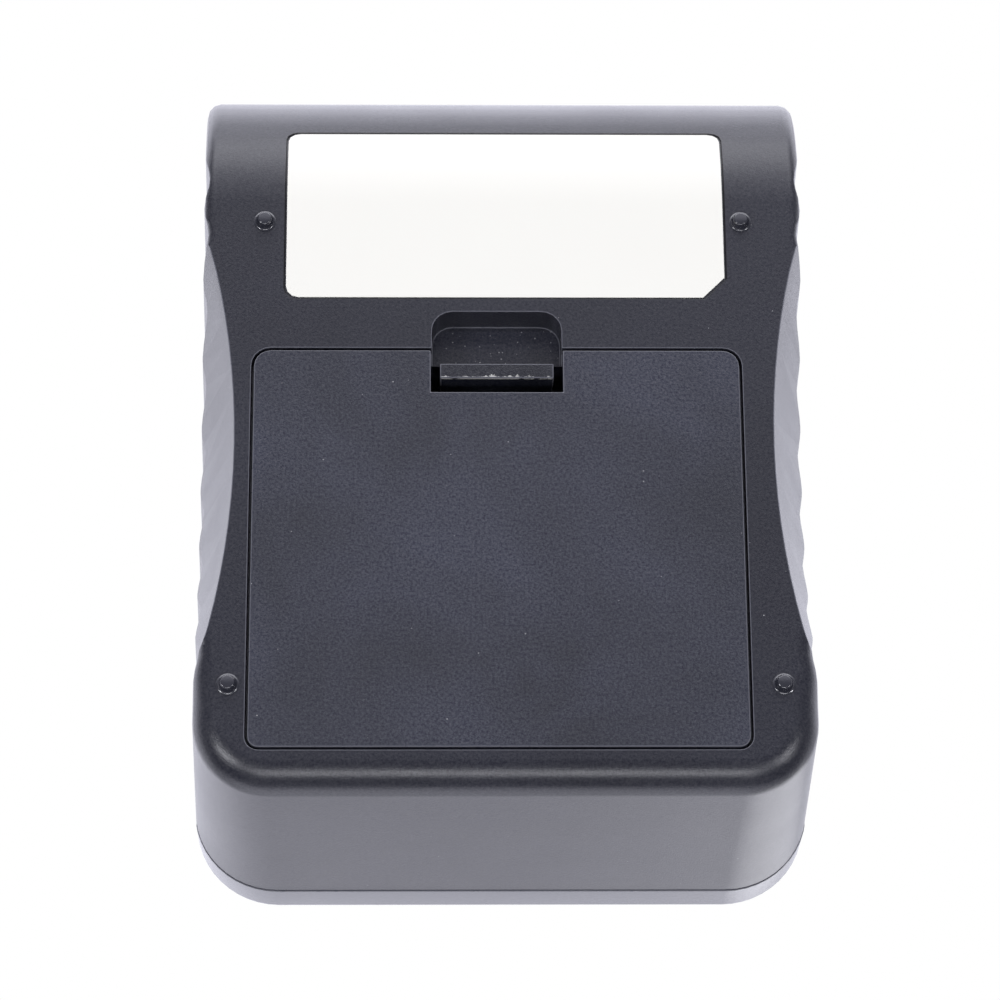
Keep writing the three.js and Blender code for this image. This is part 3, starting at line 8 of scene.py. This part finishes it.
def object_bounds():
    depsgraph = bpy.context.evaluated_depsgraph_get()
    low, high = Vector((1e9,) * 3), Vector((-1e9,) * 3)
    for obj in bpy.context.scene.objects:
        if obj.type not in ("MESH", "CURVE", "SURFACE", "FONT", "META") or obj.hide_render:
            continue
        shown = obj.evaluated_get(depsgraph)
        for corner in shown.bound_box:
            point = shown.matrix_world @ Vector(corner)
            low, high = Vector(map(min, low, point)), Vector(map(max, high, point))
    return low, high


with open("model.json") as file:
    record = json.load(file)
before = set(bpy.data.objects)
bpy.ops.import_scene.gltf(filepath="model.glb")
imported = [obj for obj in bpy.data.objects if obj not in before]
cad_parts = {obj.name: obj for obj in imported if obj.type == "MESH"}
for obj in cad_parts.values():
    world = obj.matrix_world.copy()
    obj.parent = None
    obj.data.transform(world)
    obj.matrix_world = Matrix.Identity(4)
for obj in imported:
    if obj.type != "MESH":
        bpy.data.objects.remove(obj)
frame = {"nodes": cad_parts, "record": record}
cad_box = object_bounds()
nodes = frame["nodes"]
scene = bpy.context.scene
scene.view_settings.view_transform = "Standard"

MM = 0.001
low, high = (Vector(corner) for corner in cad_box)
MIDDLE = (low + high) / 2

# Camera, read from the photograph: below the printer, whose underside faces it

CAMERA_PLACE = Vector((10.07, -204.54, -470.29)) * MM
CAMERA_RIGHT = Vector((-0.99983, -0.00640, -0.01742))
CAMERA_FORWARD = Vector((-0.01855, 0.37607, 0.92640))
CAMERA_LENS = 141.79
CAMERA_SENSOR = 36
CAMERA_NEAR, CAMERA_FAR = 0.01, 20

camera_data = bpy.data.cameras.new("camera")
camera_data.lens = CAMERA_LENS
camera_data.sensor_width = CAMERA_SENSOR
camera_data.clip_start = CAMERA_NEAR
camera_data.clip_end = CAMERA_FAR
camera = bpy.data.objects.new("camera", camera_data)
scene.collection.objects.link(camera)
back = -CAMERA_FORWARD.normalized()
right = (CAMERA_RIGHT - CAMERA_RIGHT.dot(back) * back).normalized()
turn = Matrix((right, back.cross(right), back)).transposed()
camera.matrix_world = Matrix.Translation(CAMERA_PLACE) @ turn.to_4x4()
scene.camera = camera

# Node helpers


def tree_of(owner):
    """The empty node tree of a material or world."""
    owner.use_nodes = True
    tree = owner.node_tree
    tree.nodes.clear()
    return tree


def feed(tree, source, socket):
    """Set a socket to a plain value, or link another socket to it."""
    if isinstance(source, bpy.types.NodeSocket):
        tree.links.new(source, socket)
    else:
        socket.default_value = source


def node(tree, kind, **values):
    """A new node with its properties and inputs set by name."""
    made = tree.nodes.new(kind)
    for key, value in values.items():
        if hasattr(made, key):
            setattr(made, key, value)
        else:
            feed(tree, value, made.inputs[key.replace("_", " ")])
    return made


def maths(tree, operation, *terms):
    made = node(tree, "ShaderNodeMath", operation=operation)
    for term, socket in zip(terms, made.inputs):
        feed(tree, term, socket)
    return made.outputs[0]


def noise(tree, spot, scale, **values):
    made = node(tree, "ShaderNodeTexNoise", Vector=spot, Scale=scale, **values)
    return made.outputs["Fac"]


def spread(tree, value, before, after, low=0.3, high=0.7):
    """Carry the middle range of a noise over to another range."""
    made = node(
        tree,
        "ShaderNodeMapRange",
        Value=value,
        From_Min=low,
        From_Max=high,
        To_Min=before,
        To_Max=after,
    )
    return made.outputs[0]


def ramp(tree, value, span, before, after):
    """Smooth step from one level to another as a value passes through a span."""
    made = node(
        tree,
        "ShaderNodeMapRange",
        interpolation_type="SMOOTHSTEP",
        Value=value,
        From_Min=span[0],
        From_Max=span[1],
        To_Min=before,
        To_Max=after,
    )
    return made.outputs[0]


def chosen(tree, share, first, second):
    """A shader that passes from the first to the second by a share."""
    pick = node(tree, "ShaderNodeMixShader")
    for source, socket in zip((share, first, second), pick.inputs):
        feed(tree, source, socket)
    return pick.outputs[0]


def scaled(tree, shade, factor):
    """A colour times a number."""
    made = node(tree, "ShaderNodeVectorMath", operation="SCALE", Scale=factor)
    feed(tree, shade, made.inputs[0])
    return made.outputs[0]


MIX_INPUTS = {"FLOAT": (0, 2, 3), "RGBA": (0, 6, 7)}
MIX_OUTPUT = {"FLOAT": 0, "RGBA": 2}


def mixed(tree, kind, share, first, second):
    """A number or colour that passes from the first to the second by a share."""
    made = node(tree, "ShaderNodeMix", data_type=kind)
    for source, index in zip((share, first, second), MIX_INPUTS[kind]):
        feed(tree, source, made.inputs[index])
    return made.outputs[MIX_OUTPUT[kind]]


# Surround: a light tent whose level depends on the direction. The underside mirrors a table that
# is dim at the front and bright at the rear, and the walls mirror what lies beyond the printer.

TENT_TINT = (0.95, 0.95, 1.07, 1)
WHITE = (1, 1, 1, 1)
BELOW_SPAN, BELOW_FRONT, BELOW_REAR = (-0.85, 0.25), 0.33, 1.36
NADIR_SPAN, NADIR_FRONT, NADIR_REAR = (0.28, 0.55), 0.28, 1.22
NADIR_REACH = (-0.9, -0.35)
SIDE_SPAN, SIDE_SHARE = (0.35, 0.8), 0.25
MIRRORED_FRONT_SPAN, MIRRORED_FRONT, MIRRORED_NEAR = (-0.9, -0.45), 2.2, 0.85
MIRRORED_MIDDLE_SPAN, MIRRORED_MIDDLE = (-0.5, -0.18), 1.6
MIRRORED_LEFT_SPAN, MIRRORED_LEFT_SHARE = (-0.4, 0.08), 0.6
MIRRORED_REAR_SPAN, MIRRORED_REAR = (0.05, 0.35), 1.55
MIRRORED_FAR_SPAN, MIRRORED_FAR = (0.4, 0.9), 2.4
ABOVE = 0.9
HORIZON = (0.04, 0.3)

world = bpy.data.worlds.new("surround")
scene.world = world
tree = tree_of(world)
path = node(tree, "ShaderNodeLightPath")
place = node(tree, "ShaderNodeTexCoord")
x, y, z = node(tree, "ShaderNodeSeparateXYZ", Vector=place.outputs["Generated"]).outputs
below = ramp(tree, y, BELOW_SPAN, BELOW_FRONT, BELOW_REAR)
nadir = ramp(tree, y, NADIR_SPAN, NADIR_FRONT, NADIR_REAR)
below = ramp(tree, z, NADIR_REACH, nadir, below)
sides = ramp(tree, maths(tree, "ABSOLUTE", x), SIDE_SPAN, 1.0, SIDE_SHARE)
below = maths(tree, "MULTIPLY", below, sides)
mirrored = ramp(tree, y, MIRRORED_FRONT_SPAN, MIRRORED_FRONT, MIRRORED_NEAR)
mirrored = ramp(tree, y, MIRRORED_MIDDLE_SPAN, mirrored, MIRRORED_MIDDLE)
left = ramp(tree, x, MIRRORED_LEFT_SPAN, MIRRORED_LEFT_SHARE, 1.0)
mirrored = maths(tree, "MULTIPLY", mirrored, left)
mirrored = ramp(tree, y, MIRRORED_REAR_SPAN, mirrored, MIRRORED_REAR)
mirrored = ramp(tree, y, MIRRORED_FAR_SPAN, mirrored, MIRRORED_FAR)
above = mixed(tree, "FLOAT", path.outputs["Is Glossy Ray"], ABOVE, mirrored)
level = ramp(tree, z, HORIZON, below, above)
tent = node(tree, "ShaderNodeBackground", Color=TENT_TINT, Strength=level)
white = node(tree, "ShaderNodeBackground", Color=WHITE, Strength=1.0)
seen = chosen(tree, path.outputs["Is Camera Ray"], tent.outputs[0], white.outputs[0])
node(tree, "ShaderNodeOutputWorld", Surface=seen)

# Softboxes: place and size in metres, power in watts. Each is turned towards the printer.

LAMP_TINT = (0.95, 0.952, 1.0)
SOFTBOXES = {
    "softbox_below": {"place": (0.0, -0.63, -0.74), "size": (0.6, 0.14), "power": 3.0},
    "softbox_left": {"place": (0.66, -0.3, -0.7), "size": (0.12, 0.24), "power": 3.1},
    "softbox_right": {"place": (-0.66, -0.3, -0.7), "size": (0.12, 0.24), "power": 2.3},
    "softbox_rear": {"place": (0.0, 0.92, -0.36), "size": (1.3, 0.5), "power": 4.3},
    "softbox_above": {"place": (-0.45, -0.35, 0.8), "size": (0.6, 0.6), "power": 2.0},
}
for name, box in SOFTBOXES.items():
    data = bpy.data.lights.new(name, "AREA")
    data.shape = "RECTANGLE"
    data.size, data.size_y = box["size"]
    data.energy = box["power"]
    data.color = LAMP_TINT
    lamp = bpy.data.objects.new(name, data)
    scene.collection.objects.link(lamp)
    lamp.visible_camera = False
    lamp.location = box["place"]
    lamp.rotation_euler = (MIDDLE - lamp.location).to_track_quat("-Z", "Y").to_euler()

# Floor: pale and solid from above. A view from below looks through it, and is lit through it.

FLOOR_REACH = 3.0
FLOOR_DROP = 0.05 * MM
FLOOR_TONES = (0.78, 0.82)
FLOOR_CLOUDS = 9.0
FIRST_HIT = 0.5

floor_mesh = bpy.data.meshes.new("floor")
signs = ((-1, -1), (1, -1), (1, 1), (-1, 1))
corners = [(across * FLOOR_REACH, along * FLOOR_REACH, -FLOOR_DROP) for across, along in signs]
floor_mesh.from_pydata(corners, [], [(0, 1, 2, 3)])
floor = bpy.data.objects.new("floor", floor_mesh)
scene.collection.objects.link(floor)
floor_material = bpy.data.materials.new("floor")
tree = tree_of(floor_material)
side = node(tree, "ShaderNodeNewGeometry")
path = node(tree, "ShaderNodeLightPath")
spot = node(tree, "ShaderNodeTexCoord").outputs["Object"]
clouds = noise(tree, spot, FLOOR_CLOUDS, Detail=4.0)
tone = spread(tree, clouds, *FLOOR_TONES, low=0.0, high=1.0)
pale = node(tree, "ShaderNodeBsdfDiffuse", Color=tone)
clear = node(tree, "ShaderNodeBsdfTransparent")
from_above = maths(tree, "SUBTRACT", 1.0, side.outputs["Backfacing"])
fresh = maths(tree, "LESS_THAN", path.outputs["Transparent Depth"], FIRST_HIT)
solid = maths(tree, "MULTIPLY", from_above, fresh)
shown = chosen(tree, solid, clear.outputs[0], pale.outputs[0])
node(tree, "ShaderNodeOutputMaterial", Surface=shown)
floor_mesh.materials.append(floor_material)

# Colours


def linear(value):
    value /= 255
    return value / 12.92 if value <= 0.04045 else ((value + 0.055) / 1.055) ** 2.4


def colour(red, green, blue):
    """A linear colour from screen values of 0 to 255."""
    return (linear(red), linear(green), linear(blue), 1)


def shaded(base, factor):
    return tuple(min(1, channel * factor) for channel in base[:3]) + (1,)


# Surfaces. Each one's colour, roughness and fine relief all vary over the piece.

FLECK_SIZE = 0.36 * MM
STAIN_SIZE = 24 * MM
DUST_CELL = 0.5 * MM
DUST_DOT, DUST_DOT_SPREAD = 0.07, 0.13
DUST_SHADE = colour(190, 190, 190)
DUST_SHARE = 0.5
DARKEST = (0.002, 0.002, 0.002)


def add_glint_flecks(tree, spot, parts, fleck):
    """Neutral light and dark specks added to the colour: painted glints of the spark-eroded grain,
    with random tone.
    """
    specks = noise(tree, spot, 1 / FLECK_SIZE, Detail=2.0, Roughness=0.9)
    gain = spread(tree, specks, -fleck, fleck)
    added = node(tree, "ShaderNodeVectorMath", operation="ADD")
    feed(tree, parts["colour"], added.inputs[0])
    feed(tree, gain, added.inputs[1])
    kept = node(tree, "ShaderNodeVectorMath", operation="MAXIMUM")
    feed(tree, added.outputs[0], kept.inputs[0])
    feed(tree, DARKEST, kept.inputs[1])
    parts["colour"] = kept.outputs[0]


def add_stains(tree, spot, parts, stain):
    """Large soft patches that are lighter or darker by a share."""
    patches = noise(tree, spot, 1 / STAIN_SIZE, Detail=3.0, Roughness=0.5, Distortion=0.8)
    shift = spread(tree, patches, 1 - stain, 1 + stain)
    parts["colour"] = scaled(tree, parts["colour"], shift)


def add_dust(tree, spot, parts):
    """Pale dots in a share of small cells."""
    cells = node(tree, "ShaderNodeTexVoronoi", Scale=1 / DUST_CELL, Randomness=1.0, Vector=spot)
    draw, width, _ = node(tree, "ShaderNodeSeparateXYZ", Vector=cells.outputs["Color"]).outputs
    reach = maths(tree, "MULTIPLY_ADD", width, DUST_DOT_SPREAD, DUST_DOT)
    near = maths(tree, "LESS_THAN", cells.outputs["Distance"], reach)
    rare = maths(tree, "LESS_THAN", draw, parts["dust"])
    share = maths(tree, "MULTIPLY", maths(tree, "MULTIPLY", near, rare), DUST_SHARE)
    parts["colour"] = mixed(tree, "RGBA", share, parts["colour"], DUST_SHADE)


def surface(
    name,
    base,
    roughness,
    grain=None,
    vary=0.08,
    rough_vary=0.05,
    vary_scale=60,
    fleck=0,
    stain=0,
    dust=0,
    extra=None,
    **values,
):
    """A Principled material. Grain is the size and depth of its relief in mm; fleck, stain and
    dust are shares; extra is a function that changes the parts; values are the shader's own."""
    material = bpy.data.materials.new(name)
    tree = tree_of(material)
    shader = node(tree, "ShaderNodeBsdfPrincipled", **values)
    node(tree, "ShaderNodeOutputMaterial", Surface=shader.outputs[0])
    spot = node(tree, "ShaderNodeTexCoord").outputs["Object"]
    cloud = noise(tree, spot, vary_scale, Detail=5.0, Roughness=0.6)
    parts = {
        "colour": mixed(tree, "RGBA", cloud, shaded(base, 1 - vary), shaded(base, 1 + vary)),
        "roughness": spread(tree, cloud, roughness - rough_vary, roughness + rough_vary),
        "dust": dust,
    }
    if grain:
        size, parts["depth"] = grain
        parts["height"] = noise(tree, spot, 1 / (size * MM), Detail=3.0, Roughness=0.65)
    if fleck:
        add_glint_flecks(tree, spot, parts, fleck)
    if stain:
        add_stains(tree, spot, parts, stain)
    if extra:
        extra(tree, spot, parts)
    if dust:
        add_dust(tree, spot, parts)
    feed(tree, parts["colour"], shader.inputs["Base Color"])
    feed(tree, parts["roughness"], shader.inputs["Roughness"])
    if "height" in parts:
        bump = node(tree, "ShaderNodeBump", Strength=1.0, Distance=parts["depth"] * MM)
        feed(tree, parts["height"], bump.inputs["Height"])
        feed(tree, bump.outputs[0], shader.inputs["Normal"])
    return material


# Extras: changes to a surface's parts in places named in millimetres

CATCH_MIDDLE = 0.92
LABEL_MIDDLE = -0.3
RECESS = {"x": 8.3, "y": (6, 13), "z": 8}
# Painted light: inside the finger recess, deeper than this floor level, the colour is made paler
# by the next share
RECESS_FLOOR = 1.4
RECESS_PAINTED_LIGHT = 0.45
RECESS_DUST, CASE_DUST = 0.5, 0.004
CATCH = {"x": 8.6, "y": 2.1}
CATCH_DARKER, CATCH_SMOOTHER = -0.5, -0.1
FLASH_SIZE = 2.2
FLASH_FRONT, FLASH_DEPTH, FLASH_TOP = 2.6, 3.4, 1.7
FLASH_SHARE = 0.8
FLASH_SHADE = colour(196, 196, 190)
# Painted shade in the fine groove round the label place, darker than the plastic
LABEL_PLACE = {"x": 29.8, "y": 15.2, "z": 8}
GROOVE_PAINTED_SHADE = colour(14, 14, 18)
BRUSH_DEPTH = 0.01
BRUSH_SMOOTHER, BRUSH_ROUGHER = 0.1, 0.2


def all_of(tree, *conditions):
    share = conditions[0]
    for condition in conditions[1:]:
        share = maths(tree, "MULTIPLY", share, condition)
    return share


def axes_of(tree, spot, middle):
    """Distance across from a middle, then Y and Z."""
    x, y, z = node(tree, "ShaderNodeSeparateXYZ", Vector=spot).outputs
    return maths(tree, "ABSOLUTE", maths(tree, "SUBTRACT", x, middle * MM)), y, z


def under(tree, value, limit):
    return maths(tree, "LESS_THAN", value, limit * MM)


def over(tree, value, limit):
    return maths(tree, "GREATER_THAN", value, limit * MM)


def brushed(axis_scale):
    """Extra for metals: fine lines drawn out along one axis."""

    def add(tree, spot, parts):
        stretch = node(tree, "ShaderNodeMapping", Vector=spot, Scale=axis_scale)
        lines = noise(tree, stretch.outputs[0], 1.0, Detail=2.0)
        parts["height"] = lines
        parts["depth"] = BRUSH_DEPTH
        least = maths(tree, "SUBTRACT", parts["roughness"], BRUSH_SMOOTHER)
        parts["roughness"] = maths(tree, "MULTIPLY_ADD", lines, BRUSH_ROUGHER, least)

    return add


def recess_dust_and_painted_light(tree, spot, parts):
    """Extra for the lower case: the finger recess holds more dust, and inside it, deeper than the
    underside, the colour is made paler as painted light.
    """
    across, y, z = axes_of(tree, spot, CATCH_MIDDLE)
    front, rear = RECESS["y"]
    inside = all_of(
        tree,
        under(tree, across, RECESS["x"]),
        over(tree, y, front),
        under(tree, y, rear),
        under(tree, z, RECESS["z"]),
    )
    parts["dust"] = maths(tree, "MULTIPLY_ADD", inside, RECESS_DUST, CASE_DUST)
    # Painted light: inside the recess, deeper than the underside, the colour is made paler
    sunk = all_of(tree, inside, over(tree, z, RECESS_FLOOR))
    painted_light_gain = maths(tree, "MULTIPLY_ADD", sunk, RECESS_PAINTED_LIGHT, 1.0)
    parts["colour"] = scaled(tree, parts["colour"], painted_light_gain)


def worn_catch(tree, spot, parts):
    """Extra for the battery door: a darker, smoother catch with pale ragged flash on its bar."""
    across, y, z = axes_of(tree, spot, CATCH_MIDDLE)
    catch = all_of(tree, under(tree, across, CATCH["x"]), over(tree, y, CATCH["y"]))
    darker = maths(tree, "MULTIPLY_ADD", catch, CATCH_DARKER, 1.0)
    parts["colour"] = scaled(tree, parts["colour"], darker)
    parts["roughness"] = maths(tree, "MULTIPLY_ADD", catch, CATCH_SMOOTHER, parts["roughness"])
    torn = noise(tree, spot, 1 / (FLASH_SIZE * MM), Detail=7.0, Roughness=0.85)
    reach = maths(tree, "MULTIPLY_ADD", torn, FLASH_DEPTH * MM, FLASH_FRONT * MM)
    flash = all_of(tree, catch, maths(tree, "LESS_THAN", y, reach), under(tree, z, FLASH_TOP))
    share = maths(tree, "MULTIPLY", flash, FLASH_SHARE)
    parts["colour"] = mixed(tree, "RGBA", share, parts["colour"], FLASH_SHADE)


def groove_painted_shade(tree, spot, parts):
    """Extra for the painted edge highlight: on the bevel faces in the fine groove round the label
    place it gives way to painted shade, darker than the plastic.
    """
    across, y, z = axes_of(tree, spot, LABEL_MIDDLE)
    share = all_of(
        tree,
        under(tree, across, LABEL_PLACE["x"]),
        over(tree, y, LABEL_PLACE["y"]),
        under(tree, z, LABEL_PLACE["z"]),
    )
    parts["colour"] = mixed(tree, "RGBA", share, parts["colour"], GROOVE_PAINTED_SHADE)


# One surface for each material slot of the record, and one for the bevel faces, whose pale colour
# is a painted highlight along the edges

CHARCOAL = colour(35, 36, 44)
LENGTHWAYS = (200, 4000, 4000)
FINS = (60, 3000, 3000)
SURFACES = {
    "case_dark": {
        "base": CHARCOAL,
        "roughness": 0.305,
        "grain": (0.24, 0.03),
        "vary": 0.06,
        "rough_vary": 0.02,
        "fleck": 0.016,
        "dust": CASE_DUST,
        "stain": 0.12,
        "extra": recess_dust_and_painted_light,
        "IOR": 1.54,
    },
    "case_grey": {
        "base": colour(70, 71, 78),
        "roughness": 0.22,
        "grain": (0.3, 0.012),
        "vary": 0.05,
        "rough_vary": 0.03,
        "fleck": 0.008,
        "IOR": 1.75,
    },
    "lid_dark": {
        "base": CHARCOAL,
        "roughness": 0.34,
        "grain": (0.24, 0.04),
        "vary": 0.05,
        "fleck": 0.012,
        "dust": 0.003,
        "IOR": 1.54,
    },
    "cover_dark": {
        "base": colour(44, 46, 57),
        "roughness": 0.44,
        "grain": (0.24, 0.08),
        "vary": 0.12,
        "fleck": 0.028,
        "dust": 0.01,
        "stain": 0.32,
        "extra": worn_catch,
    },
    "label": {
        "base": colour(237, 236, 226),
        "roughness": 0.5,
        "grain": (0.3, 0.004),
        "vary": 0.012,
        "IOR": 1.46,
    },
    "foot": {
        "base": colour(38, 39, 47),
        "roughness": 0.19,
        "grain": (0.3, 0.01),
        "vary": 0.15,
        "IOR": 1.75,
    },
    "button": {"base": colour(34, 35, 38), "roughness": 0.34, "grain": (0.25, 0.008), "vary": 0.1},
    "light": {
        "base": colour(222, 228, 232),
        "roughness": 0.25,
        "grain": (0.4, 0.005),
        "vary": 0.02,
        "Transmission_Weight": 0.6,
    },
    "board": {
        "base": colour(28, 92, 58),
        "roughness": 0.4,
        "grain": (0.5, 0.02),
        "vary": 0.15,
        "vary_scale": 400,
    },
    "switch": {"base": colour(30, 30, 32), "roughness": 0.5, "grain": (0.2, 0.01), "vary": 0.1},
    "steel": {
        "base": colour(205, 206, 208),
        "roughness": 0.3,
        "vary": 0.04,
        "Metallic": 1.0,
        "extra": brushed(LENGTHWAYS),
    },
    "battery": {"base": colour(40, 58, 120), "roughness": 0.35, "grain": (0.6, 0.01)},
    "brass": {
        "base": colour(222, 186, 110),
        "roughness": 0.3,
        "grain": (0.3, 0.008),
        "Metallic": 1.0,
    },
    "inner": {"base": colour(38, 39, 42), "roughness": 0.52, "grain": (0.2, 0.02)},
    "ceramic": {
        "base": colour(176, 172, 158),
        "roughness": 0.22,
        "grain": (0.3, 0.006),
        "vary": 0.06,
    },
    "heatsink": {
        "base": colour(212, 214, 216),
        "roughness": 0.4,
        "vary": 0.05,
        "Metallic": 1.0,
        "extra": brushed(FINS),
    },
    "platen_rubber": {
        "base": colour(40, 40, 42),
        "roughness": 0.72,
        "grain": (0.12, 0.03),
        "vary": 0.1,
    },
    "gear": {
        "base": colour(226, 222, 208),
        "roughness": 0.42,
        "grain": (0.3, 0.01),
        "vary": 0.03,
        "Subsurface_Weight": 0.1,
    },
    # Pale colour of the bevel faces: a painted highlight along the moulded edges
    "painted_edge_highlight": {
        "base": colour(92, 93, 100),
        "roughness": 0.3,
        "grain": (0.2, 0.01),
        "vary": 0.2,
        "vary_scale": 900,
        "extra": groove_painted_shade,
    },
}
finish = {name: surface(name, **values) for name, values in SURFACES.items()}
slot_of = {row["node"]: row["material_slot"] for row in frame["record"]["subparts"]}

# Edges and shading, all by modifiers: weld, bevel of the moulded shells, smooth shading by angle

SMOOTH_LIMIT = math.radians(32)
FLAT_LIMIT = math.radians(0.5)
EDGE_LIMIT = math.radians(40)
EDGE_SEGMENTS = 2
EDGE_WIDTHS = {"lower_case": 0.12, "top_case": 0.15, "paper_lid": 0.12, "battery_cover": 0.15}
WELD_REACH = 0.001
WIDER_WELDS = {"paper_lid": 0.2}


def smooth_by_angle(limit):
    """A node group that shades faces smooth and keeps edges sharper than a limit sharp."""
    group = bpy.data.node_groups.new("smooth_by_angle", "GeometryNodeTree")
    for way in ("INPUT", "OUTPUT"):
        group.interface.new_socket("Geometry", in_out=way, socket_type="NodeSocketGeometry")
    source = node(group, "NodeGroupInput")
    target = node(group, "NodeGroupOutput")
    faces = node(group, "GeometryNodeSetShadeSmooth", domain="FACE", Geometry=source.outputs[0])
    angle = node(group, "GeometryNodeInputMeshEdgeAngle")
    sharp = node(group, "FunctionNodeCompare", data_type="FLOAT", operation="GREATER_THAN")
    feed(group, angle.outputs["Unsigned Angle"], sharp.inputs[0])
    feed(group, limit, sharp.inputs[1])
    edges = node(group, "GeometryNodeSetShadeSmooth", domain="EDGE", Shade_Smooth=False)
    feed(group, faces.outputs[0], edges.inputs["Geometry"])
    feed(group, sharp.outputs[0], edges.inputs["Selection"])
    feed(group, edges.outputs[0], target.inputs[0])
    return group


smooth = smooth_by_angle(SMOOTH_LIMIT)
for name, thing in nodes.items():
    thing.data.materials.clear()
    thing.data.materials.append(finish[slot_of[name]])
    weld = thing.modifiers.new("weld", "WELD")
    weld.merge_threshold = WIDER_WELDS.get(name, WELD_REACH) * MM
    if name in EDGE_WIDTHS:
        # The bevel faces take this second slot: a painted highlight along the edges
        thing.data.materials.append(finish["painted_edge_highlight"])
        flat = thing.modifiers.new("flat", "DECIMATE")
        flat.decimate_type = "DISSOLVE"
        flat.angle_limit = FLAT_LIMIT
        bevel = thing.modifiers.new("bevel", "BEVEL")
        bevel.width = EDGE_WIDTHS[name] * MM
        bevel.segments = EDGE_SEGMENTS
        bevel.limit_method = "ANGLE"
        bevel.angle_limit = EDGE_LIMIT
        bevel.use_clamp_overlap = False
        bevel.material = 1
    shade = thing.modifiers.new("shade", "NODES")
    shade.node_group = smooth
    level = thing.modifiers.new("level", "WEIGHTED_NORMAL")
    level.keep_sharp = True
